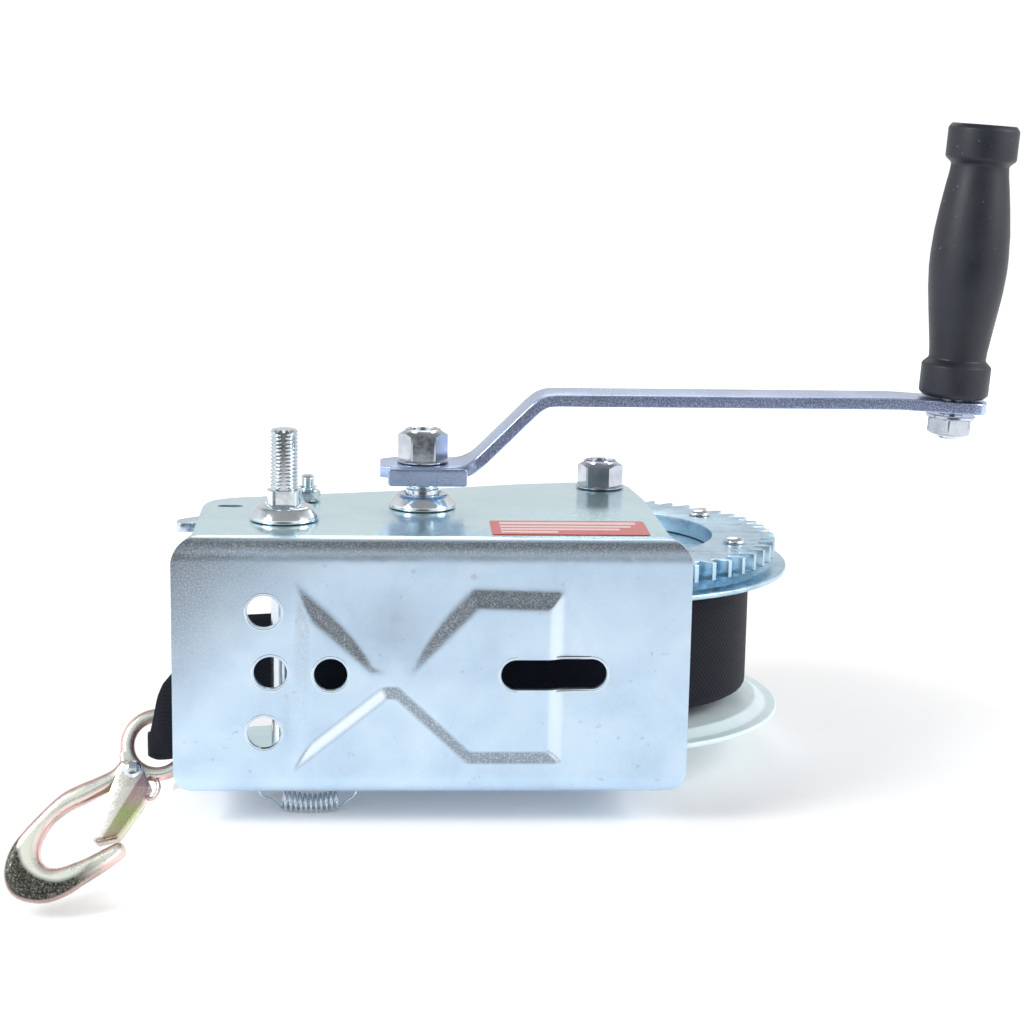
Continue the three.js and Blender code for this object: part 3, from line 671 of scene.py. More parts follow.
def spline_through(points, closed=True, per=5):
    """A Catmull-Rom curve through the points."""
    count = len(points)
    out = []
    for i in range(count if closed else count - 1):
        if closed:
            p0, p1, p2, p3 = (Vector(points[(i + k) % count]) for k in (-1, 0, 1, 2))
        else:
            p0, p1, p2, p3 = (Vector(points[min(max(i + k, 0), count - 1)]) for k in (-1, 0, 1, 2))
        for k in range(per):
            t = k / per
            out.append(tuple(0.5 * (2 * p1 + (p2 - p0) * t + (2 * p0 - 5 * p1 + 4 * p2 - p3) * t * t
                                    + (3 * p1 - p0 - 3 * p2 + p3) * t ** 3)))
    if not closed:
        out.append(tuple(points[-1]))
    return out


def modify(thing, kind, **values):
    """Adds a modifier and applies it."""
    extra = thing.modifiers.new("work", kind)
    for key, value in values.items():
        setattr(extra, key, value)
    bpy.context.view_layer.update()
    ready = bpy.data.meshes.new_from_object(thing.evaluated_get(bpy.context.evaluated_depsgraph_get()))
    thing.modifiers.clear()
    old = thing.data
    thing.data = ready
    bpy.data.meshes.remove(old)


def merged(name, parts):
    """One mesh of several overlapping ones."""
    work = bmesh.new()
    materials = []
    for part in parts:
        mesh = part.data
        base = len(materials)
        materials += list(mesh.materials)
        start = len(work.faces)
        work.from_mesh(mesh)
        work.faces.ensure_lookup_table()
        for face in work.faces[start:]:
            face.material_index += base
    mesh = bpy.data.meshes.new(name)
    work.to_mesh(mesh)
    work.free()
    for material in materials:
        mesh.materials.append(material)
    for part in parts:
        bpy.data.objects.remove(part)
    made = bpy.data.objects.new(name, mesh)
    bpy.context.scene.collection.objects.link(made)
    return made


def wire(name, path, radius, material, sides=8):
    """A round wire along a path of points."""
    points = []
    normal = None
    for i, p in enumerate(path):
        here = Vector(p)
        ahead = (Vector(path[min(i + 1, len(path) - 1)]) - Vector(path[max(i - 1, 0)])).normalized()
        if normal is None:
            normal = ahead.orthogonal().normalized()
        normal = (normal - ahead * normal.dot(ahead)).normalized()
        side = ahead.cross(normal)
        for k in range(sides):
            a = TAU * k / sides
            points.append(tuple(here + radius * (math.cos(a) * normal + math.sin(a) * side)))
    return add_mesh(name, points, skin(len(path), sides), material, 60)


def stand_in(piece, body, *nodes, slot="zinc"):
    """Puts a finished piece on its body, in place of the CAD nodes that it stands for."""
    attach(piece, body)
    if nodes:
        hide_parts(*nodes)
    return piece


# ---------------------------------------------------------------- frame
WIDTH, HEIGHT, SHEET_T, BEND, CORNER = 214.6, 110.0, 2.5, 9.5, 11.0
BOLT_HOLES = [(37.8, 79.5), (40.4, 53.6), (37.7, 27.9), (65.3, 53.4)]
BOLT_HOLE_R = 6.9
SHAFT_BORE = 8.3
SLOT, SLOT_R = (135.7, 46.9, 179.9, 59.9), 6.4
SPRING_ENDS = ((34, 22), (76, 22))
STAMP_DEPTH, SLOPE_WIDTH, UPPER_SLOPE = 2.0, 6.4, 0.74
THROUGH = (-5, 115)
UPPER_ONLY = (100, 115)
LOWER_ONLY = (-5, 5)
# Each bore's centre, radius, steps and reach in Z.
BORES = [
    (CRANK, 11.3, 48, THROUGH),
    (LOW, 11.3, 48, THROUGH),
    (DRUM, 6.3, 32, THROUGH),
    (PAWL, 3.3, 32, UPPER_ONLY),
    (SPRING_ENDS[1], 2, 24, LOWER_ONLY),
    (SPRING_ENDS[0], 2.3, 24, LOWER_ONLY),
]
# The bow tie: two wings and the neck between them, as convex outlines in X and Z.
PANELS = [
    [(48, 9.5), (98, 50), (50.5, 92)],
    [(84.4, 49.2), (121.5, 14.5), (161.5, 14.5), (161.5, 88.5), (123.5, 89.5)],
    [(78, 42.5), (104, 42.5), (104, 62), (78, 62)],
]


def depth_inside(points, x, z):
    """Distance inside a convex outline, negative outside, with the upper edges' slopes drawn wider."""
    best = 1e9
    for i, (x0, z0) in enumerate(points):
        x1, z1 = points[(i + 1) % len(points)]
        length = math.hypot(x1 - x0, z1 - z0)
        inside = ((z0 - z1) * (x - x0) + (x1 - x0) * (z - z0)) / length
        best = min(best, inside * UPPER_SLOPE if x1 < x0 else inside)
    return best


def stamping(x, z):
    """How far the sheet is pressed out at a point of its face."""
    high = 0.0
    for points in PANELS:
        t = min(1, max(0, (depth_inside(points, x, z) + 0.3) / SLOPE_WIDTH))
        high = max(high, t * t * (3 - 2 * t) * 0.6 + t * 0.4)
    # Above the neck the stamping fades out gently.
    rise = min(1, max(0, 1 - (z - 55) / 36)) * max(0, 1 - abs(x - 92) / 34)
    if z > 53:
        high = max(high, rise * rise * (3 - 2 * rise))
    return STAMP_DEPTH * high


def section():
    """The channel's outer line as (y, z, ny, nz), from the lower plate's back edge to the upper one's."""
    back, bend_steps, face_steps = 150, 12, 76

    def bend(middle, start):
        angles = [math.radians(start - 90 * k / bend_steps) for k in range(bend_steps + 1)]
        return [(*around((BEND, middle), BEND, a), math.cos(a), math.sin(a)) for a in angles]
    flat = [back - k * (back - BEND) / 24 for k in range(24)]
    line = [(y, 0.0, 0.0, -1.0) for y in flat] + bend(BEND, 270)
    line += [(0.0, BEND + k * (HEIGHT - 2 * BEND) / face_steps, -1.0, 0.0) for k in range(1, face_steps)]
    line += bend(HEIGHT - BEND, 180) + [(y, HEIGHT, 0.0, 1.0) for y in reversed(flat)]
    return line


def folded_sheet():
    """The channel before its outline and its openings are cut, with the bow tie pressed out of its face."""
    line = section()
    columns = 172
    points, faces = [], []
    for layer in (0, SHEET_T):
        for y, z, ny, nz in line:
            for i in range(columns + 1):
                x = WIDTH * i / columns
                push = stamping(x, z) if ny == -1.0 else 0.0
                points.append((x, y - ny * layer - push, z - nz * layer))
    wide, rows = columns + 1, len(line)
    inner = rows * wide
    for k in range(rows - 1):
        for i in range(columns):
            a = k * wide + i
            b = a + wide
            faces.append((a, b, b + 1, a + 1))
            faces.append((a + inner, a + 1 + inner, b + 1 + inner, b + inner))
    rim = [(k * wide + i, k * wide + i + 1) for k in (0, rows - 1) for i in range(columns)]
    rim += [(k * wide + i, (k + 1) * wide + i) for i in (0, columns) for k in range(rows - 1)]
    faces += [(a, b, b + inner, a + inner) for a, b in rim]
    return add_solid("frame_sheet", points, faces, SHEET, 40)


def prism(outline, low, high, axis="z"):
    """A plain cutter: an outline in X and Y, or in X and Z where axis is y."""
    points = []
    for level in (low, high):
        points += [(a, level, b) if axis == "y" else (a, b, level) for a, b in outline]
    return add_solid("cutter", points, skin(2, len(outline)), SHEET, 40)


def rounded_rect(x0, y0, x1, y1, r, steps=8):
    corners = ((x1 - r, y0 + r), (x1 - r, y1 - r), (x0 + r, y1 - r), (x0 + r, y0 + r))
    return [around(corner, r, math.radians(90 * i - 90 + 90 * k / steps))
            for i, corner in enumerate(corners) for k in range(steps + 1)]


def quadratic(p, c, q, steps=8):
    """A curve from p to q that leans towards c, without its first point."""
    return [tuple((1 - t) ** 2 * Vector(p) + 2 * t * (1 - t) * Vector(c) + t * t * Vector(q))
            for t in (k / steps for k in range(1, steps + 1))]


def side_outline():
    """The outline that both side plates are cut to."""
    out = [(-1, -4), (216, -4), (216, 4)]
    out += quadratic((216, 4), (207, 5), (206.2, 14))
    out += [(204.6, 90), (201.5, 120)]
    out += quadratic((201.5, 120), (200, 134.5), (190, 134.8))
    out += [(174, 134.2), (148, 128.4), (90, 109.2), (58, 101), (22, 91.5)]
    out += quadratic((22, 91.5), (7.5, 86), (7.2, 72))
    out += [(7.8, 14)]
    out += quadratic((7.8, 14), (7.8, 5), (-1, 4))
    return out


def cut(thing, cutter, how="DIFFERENCE"):
    """A boolean with a cutter, which is then thrown away."""
    modify(thing, "BOOLEAN", object=cutter, operation=how, solver="MANIFOLD")
    bpy.data.objects.remove(cutter)


def lip(outline, material):
    """The rolled edge round an opening in the face, standing a hair proud of the sheet."""
    profile = [(-0.02, 1.5), (0.03, 0.75), (0.15, 0.3), (0.4, 0.05), (0.7, -0.05), (1.0, -0.03), (1.3, 0.06)]
    count = len(outline)
    points, faces = [], []
    for i, here in enumerate(outline):
        before, after = outline[i - 1], outline[(i + 1) % count]
        along = (Vector(after) - Vector(before)).normalized()
        normal = Vector((along.y, -along.x))
        for out, deep in profile:
            p = Vector(here) + normal * out
            points.append((p.x, deep - stamping(p.x, p.y), p.y))
    n = len(profile)
    for i in range(count):
        j = (i + 1) % count
        for k in range(n - 1):
            faces.append((i * n + k, i * n + k + 1, j * n + k + 1, j * n + k))
    return add_solid("lip", points, faces, material, 60)


def build_frame():
    """The folded sheet, cut to its outline and drilled."""
    body = folded_sheet()
    trim = 0.02
    cut(body, prism(side_outline(), -6, 116), "INTERSECT")
    face_outline = rounded_rect(trim, trim, WIDTH - trim, HEIGHT - trim, CORNER, 12)
    cut(body, prism(face_outline, -6, 160, "y"), "INTERSECT")
    openings = [circle(hole, BOLT_HOLE_R, 64) for hole in BOLT_HOLES]
    openings.append(rounded_rect(*SLOT, SLOT_R, 12))
    for outline in openings:
        cut(body, prism(outline, -5, 5, "y"))
    for centre, radius, steps, reach in BORES:
        cut(body, prism(circle(centre, radius, steps), *reach))
    cut(body, prism(rounded_rect(14, 68.4, 25, 73, 2.1, 6), *UPPER_ONLY))
    made = merged("frame_folded", [body, *[lip(outline, BRIGHT) for outline in openings]])
    shade(made, 34)
    stand_in(made, "winch_frame", "frame")


def build_label():
    """A thin sticker lying on the upper plate."""
    x0, y0, x1, y1 = 131.9, 11.6, 198.0, 40.0
    outline = rounded_rect(x0, y0, x1, y1, 1.2, 4)
    points = [(x, y, z) for z in (HEIGHT + 0.1, HEIGHT + 0.34) for x, y in outline]
    uv = [((x - x0) / (x1 - x0), (y - y0) / (y1 - y0)) for x, y in outline] * 2
    made = add_mesh("label_sticker", points, skin(2, len(outline)), STICKER, 30, uv)
    stand_in(made, "winch_frame", "label", slot="sticker")


def build_bushings():
    """Four flanged bushings: way is 1 on the upper plate and -1 under the lower one."""
    for name, centre, bore, level, way in (
        ("crank_bushing_top", CRANK, SHAFT_BORE, HEIGHT, 1),
        ("low_bushing_top", LOW, SHAFT_BORE, HEIGHT, 1),
        ("crank_bushing_bottom", CRANK, 7.3, 0, -1),
        ("low_bushing_bottom", LOW, 6.3, 0, -1),
    ):
        profile = [(bore, -3.1), (11, -3.1), (11, 0.3), (14.95, 0.3), (14.95, 1.7), (13.6, 3.6), (12.2, 5.5),
                   (11, 6.25), (bore + 0.9, 6.25), (bore, 5.2)]
        loop = [(radius, level + way * out) for radius, out in profile]
        made = ring_piece(name + "_turned", centre, loop, BRIGHT, 0.55, 96)
        stand_in(made, "winch_frame", name)


def build_fasteners():
    """The nuts, bolts, spacers and washer of the frame and the crank."""
    stand_in(nut("drum_nut_hex", DRUM, 18.6, 6.3, 110.3, 123, 11.2, NUT, -0.2), "winch_frame", "drum_nut")
    stand_in(nut("pawl_nut_hex", PAWL, 10, 3.3, 110.3, 116.6, 5.8, BRIGHT), "winch_frame", "pawl_nut")
    stand_in(nut("crank_nut_hex", CRANK, 19, 5.3, 130.3, 145, 11.4, NUT), "crank", "crank_nut")
    bolt = bolt_head("drum_bolt_head", DRUM, 19, -0.3, -8, 6, 121.5, BRIGHT)
    stand_in(bolt, "winch_frame", "drum_bolt")
    small = threaded("pawl_bolt_thread", PAWL, 3, 108, 121, 1.0, BRIGHT,
                     lower=[(hexagon(10), 97.2), (hexagon(10), 101.1), (3, 101.2)], upper=[(2.4, 121.8)])
    stand_in(small, "winch_frame", "pawl_bolt")
    for name, inner, outer, z0, z1, centre in (
        ("drum_spacer_top", 6.3, 10, 91.3, 107.2, DRUM),
        ("drum_spacer_bottom", 6.3, 10, 2.8, 8.7, DRUM),
        ("pawl_washer", 3.3, 6, 105.9, 107.2, PAWL),
    ):
        loop = [(inner, z0), (outer, z0), (outer, z1), (inner, z1)]
        stand_in(ring_piece(name + "_turned", centre, loop, PLATED, 0.35), "winch_frame", name)


def build_spring():
    """The pawl's spring, its coil sagging between two hooks in the lower plate."""
    near, far = SPRING_ENDS
    y = near[1]
    coil_start, coil_length, coil_radius, coil_z, deepest = 44, 24, 4.15, -8.2, 2.2
    near_end = ((0, -0.8), (0, -3), (0.4, -5.2), (2, -7.2), (4.6, -8.2), (7.4, -10.4))
    far_end = ((-5.6, -10.4), (-3.4, -8.4), (-1.2, -6.8), (0, -4), (0, 0), (0, 3.6))
    path = [(near[0] + x, y, z) for x, z in near_end]
    count = 11 * 16
    for i in range(count + 1):
        a = TAU * i / 16
        sag = deepest * math.sin(math.pi * i / count)
        path.append((coil_start + coil_length * i / count, y + coil_radius * math.sin(a),
                     coil_z - sag - coil_radius * math.cos(a)))
    path += [(far[0] + x, y, z) for x, z in far_end]
    made = wire("spring_coil", spline_through(path, False, 2), 0.66, BRIGHT, 8)
    stand_in(made, "winch_frame", "pawl_spring")


# ---------------------------------------------------------------- drum
GEAR_MODULE, BACKLASH, PRESSURE = 3, 0.35, math.radians(20)
RIVET_CIRCLE = 65.6
RATCHET_TEETH = 12
# Lower and upper faces of the first and second pair of gears, and of the pawl with its ratchet.
DRUM_GEAR_LEVEL, CRANK_PINION_LEVEL = (81.4, 89.4), (81.7, 89.6)
SECOND_LEVEL = (93, 100.4)
PAWL_LEVEL = (101.6, 105.6)


def tooth_angle(radius, pitch, teeth):
    """Half a tooth's width as an angle, at a radius on its involute flank."""
    base = pitch * math.cos(PRESSURE)
    at = math.acos(min(1, base / max(radius, base)))
    full = math.tan(PRESSURE) - PRESSURE
    return math.pi / (2 * teeth) - BACKLASH / (2 * pitch) + full - (math.tan(at) - at)


def gear_outline(centre, teeth, phase):
    """An involute gear's outline, with a tooth centred on the phase angle."""
    pitch = GEAR_MODULE * teeth / 2
    radii = [pitch + share * GEAR_MODULE for share in (-1.25, -0.8, -0.4, 0.1, 0.55, 0.95)]
    out = []
    for i in range(teeth):
        middle = TAU * i / teeth + phase
        for sign, order in ((-1, radii), (1, radii[::-1])):
            for r in order:
                a = middle + sign * tooth_angle(r, pitch, teeth)
                out.append(around(centre, r, a))
    return out


def towards(a, b):
    """The direction from a to b, as an angle."""
    return math.atan2(b[1] - a[1], b[0] - a[0])


def build_gears():
    """The four toothed gears and the ratchet wheel. gap is 1 where a gap, not a tooth, faces the mate."""
    bore = (SHAFT_BORE, 48)
    for node, body, centre, mate, teeth, gap, hole, level, material, bevel in (
        ("drum_gear", "drum", DRUM, CRANK, 53, 1, (53, 128), DRUM_GEAR_LEVEL, DRUM_ZINC, 0.45),
        ("crank_pinion", "crank", CRANK, DRUM, 12, 0, bore, CRANK_PINION_LEVEL, PLATED, 0.3),
        ("crank_wheel", "crank", CRANK, LOW, 28, 1, bore, SECOND_LEVEL, PLATED, 0.3),
        ("low_pinion", "low_gear", LOW, CRANK, 16, 0, bore, SECOND_LEVEL, PLATED, 0.3),
    ):
        outline = gear_outline(centre, teeth, towards(centre, mate) + gap * math.pi / teeth)
        made = plate(node + "_teeth", outline, [circle(centre, *hole)], *level, material, bevel)
        stand_in(made, body, node)
    saw = []
    for i in range(RATCHET_TEETH):
        a = TAU * i / RATCHET_TEETH + 1.62
        saw += [around(LOW, 23.5, a), around(LOW, 17.5, a + 0.04)]
    made = plate("low_ratchet_teeth", saw, [circle(LOW, SHAFT_BORE)], *PAWL_LEVEL, PLATED, 0.2)
    stand_in(made, "low_gear", "low_ratchet")


def build_drum():
    """Two pressed flanges, the tubes between them and the heads of the rivets that hold the gear."""
    top = [(10.5, 78.1), (75, 78.1), (79.5, 75), (87.8, 75),
           (87.8, 77.4), (80.2, 77.4), (75.4, 81.1), (10.5, 81.1)]
    low = [(10.5, 10.6), (75.4, 10.6), (80.2, 7.4), (86, 7.4),
           (86, 9.8), (80.8, 9.8), (76, 13.2), (10.5, 13.2)]
    hub = [(6.5, 9), (10.2, 9), (10.2, 91), (6.5, 91)]
    core = [(27, 13.5), (30, 13.5), (30, 77.8), (27, 77.8)]
    for node, finish, profile, material, radius, steps in (
        ("drum_flange_top", "_pressed", top, DRUM_ZINC, 0.9, 160),
        # The lower flange is painted near white, a painted reflection of the floor.
        ("drum_flange_bottom", "_pressed", low, FLANGE_PAINTED_REFLECTION, 0.9, 160),
        ("drum_hub", "_tube", hub, PLATED, 0.5, 72),
        ("drum_core", "_tube", core, PLATED, 0.5, 72),
    ):
        stand_in(ring_piece(node + finish, DRUM, profile, material, radius, steps), "drum", node)
    dome = [(5, 89.7), (5, 90.4), (4.6, 91.2), (3.6, 91.9), (2.2, 92.3), (1.0, 92.45)]
    for i in range(6):
        a = math.radians(-24.2 + 60 * i)
        centre = around(DRUM, RIVET_CIRCLE, a)
        made = rings(f"drum_rivet_head_{i + 1}", centre, dome, BRIGHT, 32, 45)
        stand_in(made, "drum", f"drum_rivet_{i + 1}")


# ---------------------------------------------------------------- strap
STRAP_T, STRAP_WIDTH = 1.15, 0.05
ROLL_TURNS = 29


def band(name, path, low, high):
    """The strap along a path in X and Y, with low and high for its edges there. UV is in metres."""
    half = STRAP_T / 2
    across = [(0.0, 0.15), (0.012, 0.62), (0.04, 0.98), (0.5, 1.0), (0.96, 0.98), (0.988, 0.62), (1.0, 0.15)]
    ring = across + [(t, -s) for t, s in reversed(across)]
    points, uv = [], []
    run = 0.0
    for i, p in enumerate(path):
        if i:
            run += math.hypot(p[0] - path[i - 1][0], p[1] - path[i - 1][1])
        ax, ay = path[max(i - 1, 0)][:2]
        bx, by = path[min(i + 1, len(path) - 1)][:2]
        length = math.hypot(bx - ax, by - ay)
        nx, ny = -(by - ay) / length, (bx - ax) / length
        z0, z1 = low(run, p), high(run, p)
        for t, s in ring:
            points.append((p[0] + nx * half * s, p[1] + ny * half * s, z0 + (z1 - z0) * t))
            uv.append((run / 1000, STRAP_WIDTH * t))
    made = add_solid(name, points, skin(len(path), len(ring)), STRAP, 45, uv)
    return made, run / 1000


def build_roll():
    """The strap wound on the drum, one layer on the next."""
    inner, outer, end = 30.3 + 0.7, 72 - 0.7, math.radians(-91)
    count = ROLL_TURNS * 56
    path = []
    for i in range(count + 1):
        t = i / count
        a = end - TAU * ROLL_TURNS * (1 - t)
        r = inner + (outer - inner) * t
        path.append(around(DRUM, r, a))

    def low(run, p):
        return 20.2 + 0.35 * math.sin(run / 190) + 0.25 * math.sin(run / 47)

    def high(run, p):
        return low(run, p) + 49
    made, length = band("strap_winding", path, low, high)
    stand_in(made, "drum", "strap_roll", slot="webbing")


# The lower and upper edges of the loop's two layers: height by X.
LOOP_FRONT_LOW = [(-20, 0), (-12, 0), (-6, 0.9), (2, 3.7), (14, 11.3), (27, 19.2)]
LOOP_FRONT_HIGH = [(-20, 10), (-14.8, 12), (-13.4, 18), (-12, 26), (-11, 30), (-9, 35),
                   (-5, 40), (-1.6, 43.4), (4, 48), (14, 55), (27, 62.6)]
LOOP_BACK_LOW = [(-20, 0), (-6, -0.2), (2, 3.7), (14, 12.2), (27, 20)]
LOOP_BACK_HIGH = [(-20, 9.8), (-6, 10.2), (4, 11.8), (16, 45.6), (27, 62.6)]


def interpolate(line, x):
    """The value at x on a line of (x, value) points, held level beyond its ends."""
    if x <= line[0][0]:
        return line[0][1]
    for (x0, v0), (x1, v1) in zip(line, line[1:]):
        if x <= x1:
            return v0 + (v1 - v0) * (x - x0) / (x1 - x0)
    return line[-1][1]


def build_tail():
    """From the roll to the sewn end, where the band bunches and passes through the hook's eye."""
    y = HOOK[1]
    straight = [(184.8, 49.1), (150, 51.4), (102, 54.6), (70, 56.8), (44, 58.4), (30, 59.2),
                (24, 59.6), (20, 63.4)]
    loop = [(12, 8.8), (4, 9.9), (-4, 9.9), (-11, 8), (-15.6, 3), (-15.6, -3), (-11, -8), (-4, -9.9),
            (4, -9.9), (12, -8.8), (19, -4.2), (25, -0.6)]
    path = spline_through(straight + [(x, y + side) for x, side in loop], False, 8)
    high_line = [(20, 61.5), (24, 63.6), (100, 68.6), (150, 69.6), (190, 69.6)]

    def low(run, p):
        line = LOOP_FRONT_LOW if p[1] < y - 2 else LOOP_BACK_LOW
        return 19.9 if p[0] > 26 else min(19.9, interpolate(line, p[0]) + 0.2)

    def high(run, p):
        line = LOOP_FRONT_HIGH if p[1] < y - 2 else LOOP_BACK_HIGH
        return min(interpolate(high_line, p[0]), interpolate(line, p[0]) if p[0] < 27 else 99)
    made, length = band("strap_end", path, low, high)
    stitches = []
    for k in range(16):
        z = 23 + k * 2.4
        stitch = [(26.4, 58.55, z), (27.4, 58.3, z + 0.8), (28.4, 58.45, z + 1.6)]
        stitches.append(wire("stitch", stitch, 0.35, YARN, 6))
    whole = merged("strap_end_sewn", [made, *stitches])
    shade(whole, 45)
    stand_in(whole, "winch_frame", "strap_tail", slot="webbing")


# ---------------------------------------------------------------- crank
def turned_line(profile):
    """A shaft's profile with its corners softened, kept off the axis."""
    return [(max(r, 0.1), z) for r, z in softened(profile, 0.4, False)]


def build_crank():
    """The two shafts: each is turned, flattened below its thread, and threaded at its top."""
    crank = [(0.1, -4.6), (6, -4.6), (7, -3.6), (7, 76), (9.4, 76), (9.4, 80.8), (8, 80.8), (8, 114),
             (7.4, 114.6), (7.4, 118.2), (6.6, 118.8), (6.6, 120.2), (7.4, 120.8), (7.4, 121.2)]
    flat = flatted(6, 5)
    plain = turned_line(crank) + [(flat, 121.3), (flat, 129.7)]
    shaft = threaded("crank_shaft_turned", CRANK, 5, 130, 143, 1.25, BRIGHT,
                     lower=plain, upper=[(4.2, 143.6)])
    stand_in(shaft, "crank", "crank_shaft")
    low = [(0.1, -4.6), (5, -4.6), (6, -3.6), (6, 88), (9.4, 88), (9.4, 92), (8, 92), (8, 114), (7.4, 114.6)]
    flat = flatted(7.4, 5.8)
    plain = turned_line(low) + [(flat, 114.7), (flat, 122.9), (5.6, 123.1)]
    stud = threaded("low_shaft_turned", LOW, 6, 123.3, 148, 1.6, BRIGHT, flats=4.9,
                    lower=plain, upper=[(5.0, 149)])
    stand_in(stud, "low_gear", "low_shaft")


def arm_line():
    """The bar's upper line in X and Z: level at the hub, up two bends, along, and down at the grip's lean."""
    drop = math.tan(math.radians(GRIP_LEAN)) * 41
    key = [(85, 130), (119, 130), (123.5, 131.4), (127, 134.4), (151, 158.4), (154.5, 161.1), (159, 162),
           (312, 162), (353, 162 - drop)]
    dense = []
    for (x0, z0), (x1, z1) in zip(key, key[1:]):
        count = max(1, int(math.hypot(x1 - x0, z1 - z0) / 1.5))
        dense += [(x0 + (x1 - x0) * k / count, z0 + (z1 - z0) * k / count) for k in range(count)]
    dense.append(key[-1])
    for _ in range(5):
        dense = [dense[0]] + [tuple((Vector(a) + 2 * Vector(b) + Vector(c)) / 4)
                              for a, b, c in zip(dense, dense[1:], dense[2:])] + [dense[-1]]
    return dense


def arm_half_width(x):
    """Half of the bar's width: wider at the hub, round at the grip's end."""
    if x < 91:
        return 9 + (x - 85) / 6 * 5
    if x < 123:
        return 14
    if x < 126:
        return 14 - (x - 123) / 3 * 1.5
    if x > 345:
        t = (x - 345) / 8
        return 12.5 - 8 * (1 - math.sqrt(max(0, 1 - t * t)))
    return 12.5


def build_arm():
    """The bar, swept with a rounded section, then its hub's lips."""
    line = arm_line()
    thick, edge_radius = 5.2, 0.9
    points = []
    for i, (x, z) in enumerate(line):
        ax, az = line[max(i - 1, 0)]
        bx, bz = line[min(i + 1, len(line) - 1)]
        length = math.hypot(bx - ax, bz - az)
        nx, nz = (bz - az) / length, -(bx - ax) / length
        half = arm_half_width(x)
        ring = rounded_rect(-half, 0, half, thick, edge_radius, 4)
        points += [(x + nx * deep, CRANK[1] + side, z + nz * deep) for side, deep in ring]
    bar = add_solid("bar", points, skin(len(line), len(ring)), BAR, 40)
    for side in (-1, 1):
        edge = CRANK[1] + side * 14
        outline = rounded_rect(88.5, 121.8, 123, 129.6, 1.6, 6)
        lug = plate("lug", outline, [], -1.5, 1.5, BAR, 0.6, place=lambda p: (p[0], edge - p[2], p[1]))
        cut(bar, lug, "UNION")
    flats = [(x, y) for x, y in circle(CRANK, 6.3, 48) if abs(y - CRANK[1]) <= 5.3]
    cut(bar, prism(flats, 115, 135))
    hole = prism(circle((GRIP_X, CRANK[1]), 5.3, 32), 140, 175)
    hole.data.transform(turn_about((GRIP_X, CRANK[1], GRIP_Z), GRIP_LEAN, "Y"))
    cut(bar, hole)
    bar.name = "crank_arm_bar"
    shade(bar, 30)
    stand_in(bar, "crank", "crank_arm")


def turn_about(pivot, degrees, axis):
    """The matrix of a turn about an axis through a point of the drawing."""
    place = row(*pivot)
    turn = Matrix.Rotation(math.radians(degrees), 4, axis)
    return Matrix.Translation(place) @ turn @ Matrix.Translation(-place)


def lean(p):
    """A point of the upright grip, moved to where it is on the leaning one."""
    a = math.radians(GRIP_LEAN)
    x, z = p[0] - GRIP_X, p[2] - GRIP_Z
    return (GRIP_X + x * math.cos(a) + z * math.sin(a), p[1], GRIP_Z - x * math.sin(a) + z * math.cos(a))


def build_grip():
    """The moulded grip, the cap in its end, and the bolt and nut that hold it to the arm."""
    top = GRIP_Z + 119.5
    axis = (GRIP_X, CRANK[1])
    outside = [(5.4, 0.4), (13.4, 0.4), (15.25, 2.2), (15.25, 14.4), (14.6, 15.2), (12.7, 17.0),
               (12.5, 17.6), (12.7, 21), (13.6, 28), (15.0, 38), (16.3, 48), (16.95, 57), (16.95, 63),
               (16.4, 73), (15.2, 83), (13.9, 92), (12.9, 98), (12.5, 101.8), (12.8, 102.6), (14.9, 104.4),
               (15.35, 105.2)]
    inside = [(15.35, -2), (13.9, 0), (9.4, 0), (9.4, -3), (8.6, -3), (8.6, -14), (5.4, -14)]
    loop = [(r, GRIP_Z + h) for r, h in outside] + [(r, top + h) for r, h in inside]
    made = ring_piece("grip_moulded", axis, loop, PLASTIC, 0.5, 96, lean, 34)
    stand_in(made, "handle", "grip", slot="grip_plastic")
    cap = [(0.1, top - 5.4), (8.2, top - 5.4), (8.2, top - 2.7), (9.1, top - 2.7), (9.1, top - 0.9),
           (8.4, top - 0.5), (0.1, top - 0.7)]
    made = solid_piece("grip_cap_moulded", axis, cap, PLASTIC, lean)
    stand_in(made, "handle", "grip_cap", slot="grip_plastic")
    bolt = [(0.1, 142.6), (4.3, 142.6), (5, 143.3), (5, top - 13.6), (8.2, top - 13.6), (8.2, top - 8),
            (6.6, top - 6.6), (0.1, top - 6.6)]
    stand_in(solid_piece("grip_bolt_turned", axis, bolt, BRIGHT, lean), "crank", "grip_bolt")
    made = nut_below("grip_nut_hex", axis, 18.6, 5.3, 144.4, 153.6, 10.9, lean)
    stand_in(made, "crank", "grip_nut")


# ---------------------------------------------------------------- hook
# The hook and its latch are drawn hanging in the plane y = 0, in X and Z, and then leaned over.
HOOK_OUTLINE = [
    (-28.2, -3.1), (-31.5, -6.6), (-38.3, -10.1), (-46.4, -13.6), (-53.6, -17.8), (-60.8, -24.8),
    (-68, -33), (-73.2, -40.4), (-75.6, -47.6), (-75.6, -54.6), (-72.9, -60.3), (-68, -63.5),
    (-61.4, -64.8), (-55.5, -64.2), (-48.3, -61.3), (-41.1, -56.6), (-32.3, -50.8), (-25.5, -45.7),
    (-24, -42.7), (-25.2, -39.6), (-27.8, -38.7), (-33.8, -41.6), (-41.1, -45.4), (-48.3, -48.3),
    (-53.6, -49.8), (-57.5, -49.2), (-60.1, -46.3), (-60.8, -41.2), (-58.8, -35), (-54.9, -29.5),
    (-49, -24.8), (-41.1, -20.9), (-31.5, -15.5), (-26.3, -12.4), (-19, -12.6), (-17.2, -9.2),
    (-19.4, -5), (-23, -2.6),
]


def slanted(name, outline, half, chamfer, material):
    """A plate drawn in the hook's plane with chamfered edges."""
    return plate(name, outline, [], -half, half, material, chamfer, 1, 50,
                 place=lambda p: (p[0], -p[2], p[1]))


